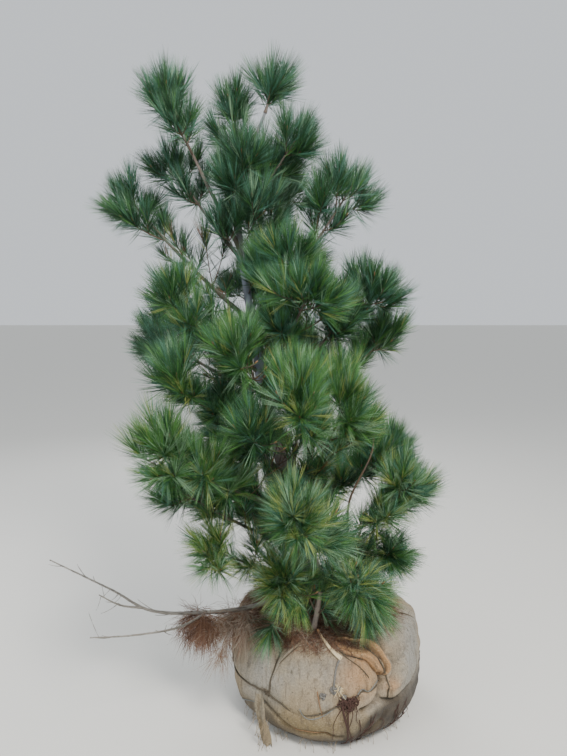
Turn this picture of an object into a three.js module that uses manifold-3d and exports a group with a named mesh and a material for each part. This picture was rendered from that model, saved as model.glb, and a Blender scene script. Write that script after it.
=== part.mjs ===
// A young pine with long soft needles, balled and wrapped in burlap for planting.
// Millimetres, +Z up. The origin is the middle of the root ball's flat underside,
// +X points right in the front view and -Y towards the viewer. Headings are degrees
// round the tree, anticlockwise from +X, so that 270 is the front.

import * as THREE from 'three';
import { mergeVertices } from 'three/addons/utils/BufferGeometryUtils.js';
import Module from 'manifold-3d';

const wasm = await Module();
wasm.setup();

// Gap between two pieces that touch
const CLEARANCE = 0.3;
const UP = new THREE.Vector3(0, 0, 1);
const FRONT = 270;

// A direction whose rise is more than this counts as upright
const UPRIGHT = 0.97;

// Root ball: radius and height of the burlap's outline, from the flat foot to the crest
const BALL_OUTLINE = [
  [292, 0],
  [360, 75],
  [382, 195],
  [356, 295],
  [318, 350],
  [170, 386],
  [0, 400],
];
const BALL = { bellyRadius: 382, shoulderRadius: 318, crestHeight: 400, sides: 30, rings: 10 };

// Room over the ball that growth stays out of: its lift over the crest, its fall from
// there to the shoulder, and its rim beyond the belly
const BALL_ROOM = { lift: 4, fall: 70, rim: 20 };

// Waves of the burlap round the ball, which die out towards the foot and the crest
const WAVES = [
  { size: 7, count: 2, phase: 0.6 },
  { size: 5, count: 3, phase: -0.9 },
  { size: 3, count: 7, phase: 0 },
];
const WAVE_FADE = 0.6;

// Folds where the twine bites into the burlap: heading, depth and half width in degrees
const CREASES = [
  { heading: 302, depth: 16, spread: 9 },
  { heading: 237, depth: 12, spread: 10 },
  { heading: 190, depth: 10, spread: 12 },
  { heading: 140, depth: 12, spread: 11 },
  { heading: 85, depth: 10, spread: 12 },
  { heading: 30, depth: 12, spread: 11 },
];

// Twine: a collar round the trunk, a girdle round the ball and runs between them.
// A run's stations are a heading and a share of the way from the foot up to the crest.
const TWINE = {
  radius: 5,
  sides: 3,
  lift: 7.5,
  collarShare: 0.9,
  collarSteps: 14,
  girdleShare: 0.3,
  runSteps: 8,
};
const TWINE_RUNS = [
  [[250, 0.9], [246, 0.8], [240, 0.68], [236, 0.52], [233, 0.3]],
  [[268, 0.9], [274, 0.76], [279, 0.62], [274, 0.46], [271, 0.3]],
  [[278, 0.9], [288, 0.76], [296, 0.62], [303, 0.46], [304, 0.3]],
  [[335, 0.9], [345, 0.72], [351, 0.5], [349, 0.3]],
  [[25, 0.9], [29, 0.72], [33, 0.5], [30, 0.3]],
  [[80, 0.9], [86, 0.72], [84, 0.5], [89, 0.3]],
  [[135, 0.9], [141, 0.72], [143, 0.5], [138, 0.3]],
  [[185, 0.9], [189, 0.72], [193, 0.5], [190, 0.3]],
];

// Trunk: x and z of the points that its leaning middle line passes, from the flat cut up
const TRUNK_LINE = [
  [-30, 388],
  [-90, 620],
  [-184, 990],
  [-253, 1300],
  [-305, 1600],
  [-338, 1860],
  [-331, 2040],
  [-237, 2275],
];
const TRUNK = {
  footRadius: 32,
  tipRadius: 5,
  flare: 24,
  flareHeight: 45,
  sides: 10,
  rings: 14,
  ringCrowding: 1.25,
  lineSteps: 40,
};

// Limbs. Each starts on the trunk's middle line at its height and runs out by reach and up
// by climb. The bare share of it is a bough of its own and the rest carries the needles.
// A limb with no bare share is a stem of needles that starts at the trunk.
const LIMBS = [
  { name: 'left_high', height: 1770, heading: 200, reach: 295, climb: 575, bare: 0.45 },
  { name: 'left_high_back', height: 1735, heading: 145, reach: 382, climb: 430, bare: 0.42 },
  { name: 'left_long', height: 1500, heading: 171, reach: 523, climb: 522, bare: 0.5 },
  { name: 'left_mid', height: 1300, heading: 209, reach: 390, climb: 330, bare: 0 },
  { name: 'left_back', height: 1220, heading: 151, reach: 600, climb: 270, bare: 0.4 },
  { name: 'left_front', height: 1060, heading: 229, reach: 530, climb: 280, bare: 0.38 },
  { name: 'left_big', height: 760, heading: 228, reach: 675, climb: 380, bare: 0.4 },
  { name: 'left_low', height: 600, heading: 208, reach: 560, climb: 350, bare: 0.38 },
  { name: 'left_lowest', height: 490, heading: 221, reach: 520, climb: 265, bare: 0 },
  { name: 'front_high', height: 1200, heading: 258, reach: 460, climb: 230, bare: 0 },
  { name: 'front_mid', height: 920, heading: 258, reach: 520, climb: 260, bare: 0.36 },
  { name: 'front_center', height: 820, heading: 273, reach: 530, climb: 510, bare: 0.4 },
  { name: 'front_low', height: 660, heading: 266, reach: 560, climb: 270, bare: 0.36 },
  { name: 'front_lowest', height: 470, heading: 251, reach: 430, climb: 200, bare: 0 },
  { name: 'right_front', height: 740, heading: 292, reach: 440, climb: 550, bare: 0.4 },
  { name: 'right_lowest', height: 500, heading: 299, reach: 400, climb: 65, bare: 0 },
  { name: 'right_lowest_back', height: 520, heading: 0, reach: 385, climb: 60, bare: 0 },
  { name: 'right_low', height: 570, heading: 335, reach: 465, climb: 355, bare: 0.38 },
  { name: 'right_low_back', height: 800, heading: 14, reach: 482, climb: 170, bare: 0 },
  { name: 'right_outer', height: 1080, heading: 7, reach: 490, climb: 410, bare: 0.45 },
  { name: 'right_star', height: 1280, heading: 294, reach: 435, climb: 350, bare: 0.36 },
  { name: 'right_mid', height: 1250, heading: 350, reach: 460, climb: 400, bare: 0.36 },
  { name: 'right_long', height: 1480, heading: 348, reach: 393, climb: 540, bare: 0.45 },
  { name: 'right_upper', height: 1520, heading: 303, reach: 350, climb: 230, bare: 0 },
  { name: 'right_high', height: 1885, heading: 342, reach: 252, climb: 310, bare: 0 },
  { name: 'right_high_back', height: 1715, heading: 51, reach: 337, climb: 376, bare: 0 },
  { name: 'front_top', height: 1850, heading: 283, reach: 180, climb: 255, bare: 0 },
  { name: 'back_upper', height: 1470, heading: 92, reach: 400, climb: 320, bare: 0 },
  { name: 'back_mid', height: 1150, heading: 75, reach: 500, climb: 280, bare: 0.36 },
  { name: 'back_left', height: 880, heading: 128, reach: 520, climb: 260, bare: 0 },
  { name: 'back_right', height: 700, heading: 48, reach: 500, climb: 260, bare: 0 },
  { name: 'back_low', height: 540, heading: 105, reach: 480, climb: 220, bare: 0 },
  { name: 'left_back_low', height: 640, heading: 165, reach: 500, climb: 240, bare: 0 },
  { name: 'second_leader', height: 1985, heading: 105, reach: 50, climb: 365, bare: 0 },
];

// The leader's needles go on from the trunk's tip
const LEADER = { name: 'leader', heading: 20, reach: 12, climb: 118, bare: 0, firstShare: 0.12 };

// A low shoot stands on the ball in front of the trunk
const LOW_SHOOT = { name: 'low_shoot', heading: 300, reach: 45, climb: 170, bare: 0, rootRadius: 11 };
const LOW_SHOOT_FOOT = [-58, -214, 372];

// The dead bough: points of its middle line from the trunk's foot, and two bare twigs on it
const DEAD_BOUGH = { rootRadius: 11, tipRadius: 2.5, steps: 11, sides: 5, lineSteps: 16 };
const DEAD_BOUGH_LINE = [
  [-38, 0, 442],
  [-255, -70, 400],
  [-441, -100, 384],
  [-680, -80, 378],
  [-855, -20, 434],
  [-1128, 50, 528],
];
const DEAD_TWIG = { rootRadius: 5, tipRadius: 2, steps: 5, sides: 4 };
const DEAD_TWIGS = [
  { from: 0.42, line: [[-562, -200, 376], [-700, -300, 404], [-820, -380, 442]] },
  { from: 0.64, line: [[-800, -100, 412], [-870, -130, 468]] },
];

// Tufts of dead needles that hang from it: share along the bough, heading, reach and drop
const DEAD_TUFT = { rootRadius: 3, arch: 20 };
const DEAD_TUFTS = [
  { name: 'outer', from: 0.44, heading: 215, reach: 55, drop: 75 },
  { name: 'inner', from: 0.3, heading: 235, reach: 110, drop: 95 },
];

// How limbs grow: girth by length, and how far the middle hangs below a straight line
const GROWTH = {
  girthPerLength: 0.0094,
  leastGirth: 3,
  tipRadius: 2.2,
  sag: 0.1,
  boughSides: 5,
  boughSteps: 4,
  lineSteps: 12,
  spacing: 2,
};

// How a mass of needles branches from its stem. Lengths are shares of the stem's length,
// and a shoot is tried at each share of its full reach until it stays in its own space.
const BRANCHING = {
  afterBough: 0.06,
  firstShare: 0.28,
  lastShare: 0.9,
  stationEvery: 112,
  reachShare: 0.5,
  leastReach: 100,
  mostReach: 300,
  leastVigour: 0.85,
  vigourSwing: 0.3,
  narrowing: 0.7,
  fork: 50,
  forkSwing: 9,
  turn: 38,
  roll: 24,
  lift: 0.16,
  bend: 0.55,
  rootRadius: 3,
  tries: [1, 0.8, 0.6, 0.45, 0.33],
  probes: [0.5, 0.75, 1],
};

// A shoot is a slim core that sprays of needles stand out of near its end. A spray is
// tried at two lengths, with a margin asked for at shares of the way to its point.
const NEEDLES = {
  length: 108,
  swing: 0.12,
  coreRadius: 6,
  tuftLength: 84,
  leastTuftStart: 0.25,
  stemStep: 95,
  stemSwell: 1,
  rows: 3,
  sides: 3,
  twist: 60,
  tipLean: 24,
  rootLean: 62,
  leanSwing: 5,
  endReach: 0.95,
  tries: [1, 0.72],
  probes: [
    { along: 1, margin: 1 },
    { along: 0.5, margin: 5 },
    { along: 0.2, margin: 8 },
  ],
};

// Where the seeded numbers start for each kind of growth, and the step from limb to limb
const SEEDS = { shoots: 1000, shootsStep: 77, needles: 5000, needlesStep: 131, deadTufts: 9000 };

const COLOURS = {
  burlap: 0xa3927a,
  twine: 0x8d8672,
  trunk: 0x55565c,
  bough: 0x6b5446,
  needles: 0x3f6a44,
  deadBough: 0x77726b,
  deadNeedles: 0x7a4a32,
};

// Seeded numbers from 0 to 1, so that the tree grows alike each time
function seededNumbers(seed) {
  let state = seed >>> 0;
  return () => {
    state = (Math.imul(state, 1664525) + 1013904223) >>> 0;
    return state / 4294967296;
  };
}

function radians(degrees) {
  return THREE.MathUtils.degToRad(degrees);
}

function towards(heading) {
  return new THREE.Vector3(Math.cos(radians(heading)), Math.sin(radians(heading)), 0);
}

// Any direction well off a given one, to square it up with
function sideways(ahead) {
  return Math.abs(ahead.z) > UPRIGHT ? towards(FRONT) : UP;
}

function weld(geometry) {
  geometry.deleteAttribute('normal');
  geometry.deleteAttribute('uv');
  return mergeVertices(geometry);
}

// Closed welded geometry to a solid, and back
function toSolid(geometry) {
  const vertProperties = new Float32Array(geometry.attributes.position.array);
  const triVerts = new Uint32Array(geometry.index.array);
  return new wasm.Manifold(new wasm.Mesh({ numProp: 3, vertProperties, triVerts }));
}

function toGeometry(solid) {
  const mesh = solid.getMesh();
  const geometry = new THREE.BufferGeometry();
  geometry.setAttribute('position', new THREE.BufferAttribute(mesh.vertProperties, 3));
  geometry.setIndex(new THREE.BufferAttribute(mesh.triVerts, 1));
  geometry.computeVertexNormals();
  return geometry;
}

function fuse(solids) {
  return solids.reduce((whole, solid) => whole.add(solid));
}

// A piece cut by its neighbour can leave a loose crumb: the largest body is the piece
function largestBody(solid) {
  const bodies = solid.decompose();
  return bodies.reduce((best, body) => (body.volume() > best.volume() ? body : best));
}

const pine = new THREE.Group();
pine.name = 'balled_pine';

function addPiece(name, solid, colour, roughness) {
  const material = new THREE.MeshStandardMaterial({ color: colour, roughness, metalness: 0 });
  const mesh = new THREE.Mesh(toGeometry(solid), material);
  mesh.name = name;
  pine.add(mesh);
}

// Directions at shares of the way along a path, carried on without twisting
function framesAlong(path, shares) {
  const start = path.getTangent(0);
  let across = new THREE.Vector3().crossVectors(start, sideways(start));
  return shares.map((share) => {
    const ahead = path.getTangent(share);
    across = across.clone().addScaledVector(ahead, -across.dot(ahead)).normalize();
    const beside = new THREE.Vector3().crossVectors(across, ahead);
    return { centre: path.getPoint(share), ahead, across, beside };
  });
}

// A closed cylinder bent along a path, with a radius of its own at each station
function bentCylinder(path, shares, radii, sides, twist = 0) {
  const steps = shares.length - 1;
  const geometry = weld(new THREE.CylinderGeometry(1, 1, steps, sides, steps));
  const frames = framesAlong(path, shares);
  const place = geometry.attributes.position;
  const point = new THREE.Vector3();
  for (let i = 0; i < place.count; i += 1) {
    const level = Math.round(place.getY(i) + steps / 2);
    const { centre, across, beside } = frames[level];
    const turn = radians(twist) * level;
    const x = place.getX(i) * Math.cos(turn) - place.getZ(i) * Math.sin(turn);
    const z = place.getX(i) * Math.sin(turn) + place.getZ(i) * Math.cos(turn);
    point.copy(centre).addScaledVector(across, x * radii[level]);
    point.addScaledVector(beside, z * radii[level]);
    place.setXYZ(i, point.x, point.y, point.z);
  }
  return geometry;
}

function evenShares(steps) {
  return Array.from({ length: steps + 1 }, (_, i) => i / steps);
}

// Root ball
const ballOutline = new THREE.SplineCurve(BALL_OUTLINE.map((corner) => new THREE.Vector2(...corner)));

// How far the burlap lies from the round outline at a heading and share of the outline
function burlapOffset(heading, share) {
  const round = radians(heading);
  const waves = WAVES.reduce((sum, wave) => sum + wave.size * Math.cos(wave.count * round + wave.phase), 0);
  const creases = CREASES.reduce((sum, crease) => {
    const off = THREE.MathUtils.euclideanModulo(heading - crease.heading + 180, 360) - 180;
    return sum + crease.depth * Math.exp(-((off / crease.spread) ** 2));
  }, 0);
  return (waves - creases) * Math.sin(Math.PI * share) ** WAVE_FADE;
}

// A point of the burlap, or one lifted off it
function ballPoint(heading, share, lift = 0) {
  const corner = ballOutline.getPoint(share);
  const slope = ballOutline.getTangent(share);
  const fold = burlapOffset(heading, share) * (corner.x / BALL.bellyRadius);
  return towards(heading)
    .multiplyScalar(corner.x + slope.y * lift + fold)
    .setZ(corner.y - slope.x * lift);
}

function ballSolid(growth) {
  const rings = evenShares(BALL.rings).slice(0, -1);
  const outline = rings.map((share) => new THREE.Vector2(BALL.bellyRadius, share));
  const profile = [new THREE.Vector2(0, 0), ...outline, new THREE.Vector2(0, 1)];
  const geometry = weld(new THREE.LatheGeometry(profile, BALL.sides));
  const place = geometry.attributes.position;
  for (let i = 0; i < place.count; i += 1) {
    const share = place.getY(i);
    const onAxis = Math.hypot(place.getX(i), place.getZ(i)) < 1;
    const heading = THREE.MathUtils.radToDeg(Math.atan2(-place.getZ(i), place.getX(i)));
    const point = ballPoint(heading, share, share > 0 ? growth : 0);
    if (onAxis) {
      point.set(0, 0, share > 0 ? BALL.crestHeight + growth : 0);
    }
    place.setXYZ(i, point.x, point.y, share > 0 ? point.z : -growth);
  }
  return toSolid(geometry);
}

// A smooth path through points
function pathThrough(points) {
  const corners = points.map((point) => new THREE.Vector3(...point));
  return new THREE.CatmullRomCurve3(corners, false, 'catmullrom', 0.5);
}

// Trunk, also with its foot a little lower to cut its own room
function trunkPathFrom(footDrop) {
  return pathThrough(TRUNK_LINE.map(([x, z], i) => [x, 0, i === 0 ? z - footDrop : z]));
}

const trunkPath = trunkPathFrom(0);
const trunkFoot = TRUNK_LINE[0][1];
const trunkTop = TRUNK_LINE[TRUNK_LINE.length - 1][1];

function trunkShareAt(height) {
  let low = 0;
  let high = 1;
  for (let i = 0; i < 30; i += 1) {
    const middle = (low + high) / 2;
    if (trunkPath.getPoint(middle).z < height) {
      low = middle;
    } else {
      high = middle;
    }
  }
  return low;
}

function trunkRadiusAt(height) {
  const rise = THREE.MathUtils.clamp((height - trunkFoot) / (trunkTop - trunkFoot), 0, 1);
  const flare = TRUNK.flare * Math.exp(-Math.max(height - trunkFoot, 0) / TRUNK.flareHeight);
  return THREE.MathUtils.lerp(TRUNK.footRadius, TRUNK.tipRadius, rise) + flare;
}

function trunkSolid(growth) {
  const shares = evenShares(TRUNK.rings).map((share) => share ** TRUNK.ringCrowding);
  const radii = shares.map((share) => trunkRadiusAt(trunkPath.getPoint(share).z) + growth);
  return toSolid(bentCylinder(trunkPathFrom(growth), shares, radii, TRUNK.sides));
}

// The part of a quadratic curve after a share of it
function restOfCurve(curve, share) {
  const control = curve.v1.clone().lerp(curve.v2, share);
  return new THREE.QuadraticBezierCurve3(curve.getPoint(share), control, curve.v2.clone());
}

function startOfCurve(curve, share) {
  const control = curve.v0.clone().lerp(curve.v1, share);
  return new THREE.QuadraticBezierCurve3(curve.v0.clone(), control, curve.getPoint(share));
}

// A limb's middle line, its girth and its place among the others
function growLimb(row, index) {
  const start = row.start ?? trunkPath.getPoint(trunkShareAt(row.height));
  const tip = start.clone().addScaledVector(towards(row.heading), row.reach);
  tip.z += row.climb;
  const length = start.distanceTo(tip);
  const control = row.ahead
    ? start.clone().addScaledVector(row.ahead, length / 2)
    : start.clone().lerp(tip, 0.5).addScaledVector(UP, -GROWTH.sag * row.reach);
  const path = new THREE.QuadraticBezierCurve3(start, control, tip);
  const rootRadius = row.rootRadius ?? GROWTH.leastGirth + GROWTH.girthPerLength * length;
  return { ...row, index, path, length, rootRadius, line: path.getPoints(GROWTH.lineSteps) };
}

function limbRadiusAt(limb, share) {
  return THREE.MathUtils.lerp(limb.rootRadius, GROWTH.tipRadius, share);
}

const limbs = LIMBS.map(growLimb);
const trunkEnd = trunkPath.getTangent(1);
const leaderStart = trunkPath.getPoint(1).addScaledVector(trunkEnd, CLEARANCE);
const leaderRow = { ...LEADER, start: leaderStart, ahead: trunkEnd, rootRadius: TRUNK.tipRadius };
const leader = growLimb(leaderRow, LIMBS.length);
const lowShootRow = { ...LOW_SHOOT, start: new THREE.Vector3(...LOW_SHOOT_FOOT) };
const lowShoot = growLimb(lowShootRow, LIMBS.length + 1);
const growing = [...limbs, leader, lowShoot];

// The dead bough and its twigs, as paths
const deadPath = pathThrough(DEAD_BOUGH_LINE);
const deadTwigPaths = DEAD_TWIGS.map(({ from, line }) => {
  const root = deadPath.getPoint(from).toArray();
  return pathThrough([root, ...line]);
});
const deadLines = [deadPath, ...deadTwigPaths].map((path) => path.getPoints(DEAD_BOUGH.lineSteps));

// Distance from a point to a line of points
const nearest = new THREE.Vector3();
const span = new THREE.Line3();
function distanceTo(point, line) {
  let least = Infinity;
  for (let i = 1; i < line.length; i += 1) {
    span.set(line[i - 1], line[i]).closestPointToPoint(point, true, nearest);
    least = Math.min(least, nearest.distanceTo(point));
  }
  return least;
}

const trunkLine = trunkPath.getPoints(TRUNK.lineSteps);

// Whether a point is clear of the trunk, the dead wood, the ball and the ground
function isInOpenAir(point, margin) {
  if (distanceTo(point, trunkLine) < trunkRadiusAt(point.z) + margin) {
    return false;
  }
  if (deadLines.some((line) => distanceTo(point, line) < DEAD_BOUGH.rootRadius + margin)) {
    return false;
  }
  const out = Math.hypot(point.x, point.y);
  if (out > BALL.bellyRadius + BALL_ROOM.rim + margin) {
    return point.z > margin;
  }
  const dome = BALL.crestHeight + BALL_ROOM.lift - BALL_ROOM.fall * (out / BALL.shoulderRadius) ** 3;
  return point.z > dome + margin;
}

// A point is in a limb's own space where no other limb's middle line is nearer
function inOwnSpace(limb, point, margin) {
  if (!isInOpenAir(point, margin + GROWTH.spacing)) {
    return false;
  }
  const own = distanceTo(point, limb.line);
  return growing.every((other) => {
    if (other === limb) {
      return true;
    }
    const away = distanceTo(point, other.line);
    return away > own + 2 * margin && away > other.rootRadius + margin + GROWTH.spacing;
  });
}

// A stem and its side shoots, in pairs along it
function growShoots(limb) {
  const random = seededNumbers(SEEDS.shoots + SEEDS.shootsStep * limb.index);
  const swing = (most) => most * (2 * random() - 1);
  const stem = { path: restOfCurve(limb.path, limb.bare), rootRadius: limbRadiusAt(limb, limb.bare) };
  const shoots = [stem];
  const first = Math.max(limb.bare + BRANCHING.afterBough, limb.firstShare ?? BRANCHING.firstShare);
  const run = BRANCHING.lastShare - first;
  const stations = Math.max(1, Math.round((run * limb.length) / BRANCHING.stationEvery));
  const longest = THREE.MathUtils.clamp(
    BRANCHING.reachShare * limb.length,
    BRANCHING.leastReach,
    BRANCHING.mostReach,
  );
  for (let station = 0; station < stations; station += 1) {
    const along = first + (run * (station + 0.5)) / stations;
    for (const side of [-1, 1]) {
      const fork = radians(BRANCHING.fork + swing(BRANCHING.forkSwing));
      const roll = radians(BRANCHING.turn * station + swing(BRANCHING.roll));
      const vigour = BRANCHING.leastVigour + BRANCHING.vigourSwing * random();
      const reach = longest * (1 - BRANCHING.narrowing * along) * vigour;
      const way = shootDirection(limb, along, side, fork, roll);
      const shoot = sideShoot(limb, along, way, reach);
      if (shoot) {
        shoots.push(shoot);
      }
    }
  }
  return shoots;
}

// Forked off the stem to one side, and rolled round it
function shootDirection(limb, along, side, fork, roll) {
  const ahead = limb.path.getTangent(along);
  const level = new THREE.Vector3().crossVectors(ahead, sideways(ahead)).normalize();
  const above = new THREE.Vector3().crossVectors(level, ahead);
  const aside = level.multiplyScalar(Math.cos(roll)).addScaledVector(above, Math.sin(roll));
  return ahead.multiplyScalar(Math.cos(fork)).addScaledVector(aside, side * Math.sin(fork));
}

// A side shoot is shortened until it stays in the mass's own space, or left out
function sideShoot(limb, along, way, reach) {
  const root = limb.path.getPoint(along);
  for (const part of BRANCHING.tries) {
    const length = reach * part;
    const tip = root.clone().addScaledVector(way, length).addScaledVector(UP, BRANCHING.lift * length);
    const control = root.clone().addScaledVector(way, length * BRANCHING.bend);
    const path = new THREE.QuadraticBezierCurve3(root, control, tip);
    const beyond = tip.clone().addScaledVector(path.getTangent(1), NEEDLES.length / 2);
    const probes = [...BRANCHING.probes.map((share) => path.getPoint(share)), beyond];
    if (probes.every((probe) => inOwnSpace(limb, probe, NEEDLES.coreRadius + 1))) {
      return { path, rootRadius: BRANCHING.rootRadius };
    }
  }
  return null;
}

function sprayFits(limb, from, to) {
  return NEEDLES.probes.every(({ along, margin }) => inOwnSpace(limb, from.clone().lerp(to, along), margin));
}

// Stations along a shoot: a bare stem in long steps, then the rows of the tuft
function shootStations(shoot) {
  const length = shoot.path.getLength();
  const tuftShare = Math.max(1 - NEEDLES.tuftLength / length, NEEDLES.leastTuftStart);
  const bareSteps = Math.max(1, Math.round((tuftShare * length) / NEEDLES.stemStep));
  const bare = evenShares(bareSteps).slice(0, -1).map((share) => share * tuftShare);
  const tuft = evenShares(NEEDLES.rows).map((share) => THREE.MathUtils.lerp(tuftShare, 1, share));
  const endRadius = GROWTH.tipRadius + NEEDLES.stemSwell;
  const stemRadii = bare.map((share) => THREE.MathUtils.lerp(shoot.rootRadius, endRadius, share));
  return { shares: [...bare, ...tuft], radii: [...stemRadii, ...tuft.map(() => NEEDLES.coreRadius)] };
}

// The core's faces near its tip are drawn out to points, one spray of needles from each
function shootSolid(limb, shoot, random) {
  const { shares, radii } = shootStations(shoot);
  const core = bentCylinder(shoot.path, shares, radii, NEEDLES.sides, NEEDLES.twist);
  const frames = framesAlong(shoot.path, shares);
  const steps = shares.length - 1;
  const points = Array.from(core.attributes.position.array);
  const faces = Array.from(core.index.array);
  const endCap = faces.slice(6 * NEEDLES.sides * steps);
  const corner = (number) => new THREE.Vector3().fromArray(points, 3 * number);
  const triangles = [];

  for (let column = 0; column < NEEDLES.sides; column += 1) {
    for (let row = 0; row < steps; row += 1) {
      const face = 6 * (column * steps + row);
      const quad = [faces[face], faces[face + 1], faces[face + 4], faces[face + 2]];
      const tip = row < NEEDLES.rows && sprayTip(limb, frames[steps - row], row, quad.map(corner), random);
      if (tip) {
        const apex = points.length / 3;
        points.push(...tip);
        quad.forEach((from, i) => triangles.push(from, quad[(i + 1) % 4], apex));
      } else {
        triangles.push(...faces.slice(face, face + 6));
      }
    }
  }

  // The middle of the end cap is drawn out too
  const { centre, ahead } = frames[steps];
  const forward = centre.clone().addScaledVector(ahead, NEEDLES.length * NEEDLES.endReach);
  if (!sprayFits(limb, centre, forward)) {
    forward.copy(centre).addScaledVector(ahead, NEEDLES.coreRadius);
  }
  const capCentre = endCap.find((number) => corner(number).distanceTo(centre) < CLEARANCE);
  points.splice(3 * capCentre, 3, ...forward);
  triangles.push(...endCap);

  const drawn = new THREE.BufferGeometry();
  drawn.setAttribute('position', new THREE.Float32BufferAttribute(points, 3));
  drawn.setIndex(triangles);
  return toSolid(drawn);
}

// Where the needles of one face of the core end, or null where they find no room
function sprayTip(limb, frame, row, corners, random) {
  const middle = corners.reduce((sum, point) => sum.add(point), new THREE.Vector3()).divideScalar(4);
  const outward = middle.clone().sub(frame.centre);
  outward.addScaledVector(frame.ahead, -outward.dot(frame.ahead)).normalize();
  const evenLean = THREE.MathUtils.lerp(NEEDLES.tipLean, NEEDLES.rootLean, row / (NEEDLES.rows - 1));
  const lean = radians(evenLean + NEEDLES.leanSwing * (random() - 0.5));
  const way = outward.multiplyScalar(Math.sin(lean)).addScaledVector(frame.ahead, Math.cos(lean));
  const reach = NEEDLES.length * (1 - NEEDLES.swing * random());
  for (const part of NEEDLES.tries) {
    const tip = middle.clone().addScaledVector(way, reach * part);
    if (sprayFits(limb, middle, tip)) {
      return tip;
    }
  }
  return null;
}

// A tapering limb along any path
function taperedSolid(path, rootRadius, tipRadius, steps, sides) {
  const shares = evenShares(steps);
  const radii = shares.map((share) => THREE.MathUtils.lerp(rootRadius, tipRadius, share));
  return toSolid(bentCylinder(path, shares, radii, sides));
}

function deadLimbSolid(growth) {
  const { rootRadius, tipRadius, steps, sides } = DEAD_BOUGH;
  return taperedSolid(deadPath, rootRadius + growth, tipRadius + growth, steps, sides);
}

function deadBoughSolid() {
  const { rootRadius, tipRadius, steps, sides } = DEAD_TWIG;
  const twigs = deadTwigPaths.map((path) => taperedSolid(path, rootRadius, tipRadius, steps, sides));
  return fuse([deadLimbSolid(0), ...twigs]);
}

// A ring of twine that follows the burlap round the ball
function twineRing(share, steps) {
  const geometry = weld(new THREE.TorusGeometry(BALL.bellyRadius, TWINE.radius, TWINE.sides, steps));
  const place = geometry.attributes.position;
  for (let i = 0; i < place.count; i += 1) {
    const out = Math.hypot(place.getX(i), place.getY(i)) - BALL.bellyRadius;
    const heading = THREE.MathUtils.radToDeg(Math.atan2(place.getY(i), place.getX(i)));
    const point = ballPoint(heading, share, TWINE.lift).addScaledVector(towards(heading), out);
    place.setXYZ(i, point.x, point.y, point.z + place.getZ(i));
  }
  return toSolid(geometry);
}

// A run of twine between the collar and the girdle
function twineRun(stations) {
  const chart = pathThrough(stations.map(([heading, share]) => [heading, share, 0]));
  const stops = chart.getPoints(TWINE.runSteps).map(({ x, y }) => ballPoint(x, y, TWINE.lift));
  const corners = evenShares(TWINE.sides).slice(0, -1).map((share) => {
    const round = 2 * Math.PI * share;
    return new THREE.Vector2(TWINE.radius * Math.cos(round), TWINE.radius * Math.sin(round));
  });
  const tube = new THREE.ExtrudeGeometry(new THREE.Shape(corners), {
    extrudePath: pathThrough(stops.map((stop) => stop.toArray())),
    steps: TWINE.runSteps,
    bevelEnabled: false,
  });
  return toSolid(weld(tube));
}

function twineSolid(ballRoom) {
  const collar = twineRing(TWINE.collarShare, TWINE.collarSteps);
  const girdle = twineRing(TWINE.girdleShare, BALL.sides);
  return largestBody(fuse([collar, girdle, ...TWINE_RUNS.map(twineRun)]).subtract(ballRoom));
}

// A tuft of dead needles that arches out of the dead bough and hangs down
function deadTuftSolid(row, index) {
  const { rootRadius, arch } = DEAD_TUFT;
  const boughRadius = THREE.MathUtils.lerp(DEAD_BOUGH.rootRadius, DEAD_BOUGH.tipRadius, row.from);
  const root = deadPath.getPoint(row.from).addScaledVector(UP, -boughRadius / 2);
  const tip = root.clone().addScaledVector(towards(row.heading), row.reach).addScaledVector(UP, -row.drop);
  const control = root.clone().lerp(tip, 0.5).addScaledVector(UP, arch);
  const path = new THREE.QuadraticBezierCurve3(root, control, tip);
  const room = { line: path.getPoints(GROWTH.lineSteps), rootRadius };
  return shootSolid(room, { path, rootRadius }, seededNumbers(SEEDS.deadTufts + index));
}

// Build the pieces
const trunkRoom = trunkSolid(CLEARANCE);
const ballRoom = ballSolid(CLEARANCE);
addPiece('root_ball', ballSolid(0).subtract(trunkRoom), COLOURS.burlap, 0.95);
addPiece('twine', twineSolid(ballRoom), COLOURS.twine, 0.9);
addPiece('trunk', trunkSolid(0), COLOURS.trunk, 0.85);

for (const limb of growing) {
  if (limb.bare > 0) {
    const bough = startOfCurve(limb.path, limb.bare - CLEARANCE / limb.length);
    const endRadius = limbRadiusAt(limb, limb.bare);
    const solid = taperedSolid(bough, limb.rootRadius, endRadius, GROWTH.boughSteps, GROWTH.boughSides);
    addPiece(`bough_${limb.name}`, largestBody(solid.subtract(trunkRoom)), COLOURS.bough, 0.85);
  }
  const random = seededNumbers(SEEDS.needles + SEEDS.needlesStep * limb.index);
  const shoots = growShoots(limb).map((shoot) => shootSolid(limb, shoot, random));
  const mass = fuse(shoots).subtract(limb === lowShoot ? ballRoom : trunkRoom);
  addPiece(`needles_${limb.name}`, largestBody(mass), COLOURS.needles, 0.7);
}

addPiece('dead_bough', largestBody(deadBoughSolid().subtract(trunkRoom)), COLOURS.deadBough, 0.9);
DEAD_TUFTS.forEach((row, index) => {
  const tuft = deadTuftSolid(row, index).subtract(deadLimbSolid(CLEARANCE));
  addPiece(`dead_needles_${row.name}`, largestBody(tuft), COLOURS.deadNeedles, 0.9);
});

export default pine;
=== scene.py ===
"""A young pine with long soft needles on its burlapped root ball, dressed for a render.

Metres, +Z up. The origin is the middle of the root ball's flat underside, +X points right
in the front view and -Y towards the viewer. Headings are degrees round the tree,
anticlockwise from +X, so that 270 is the front. A place on the ball is a heading and a
share of the way up the burlap's outline, from the foot at 0 to the crest at 1.
"""

import math
from functools import lru_cache
from typing import NamedTuple

import bpy
import numpy as np
from bpy.props import FloatProperty, FloatVectorProperty, IntProperty, PointerProperty
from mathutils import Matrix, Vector, kdtree, noise


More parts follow.
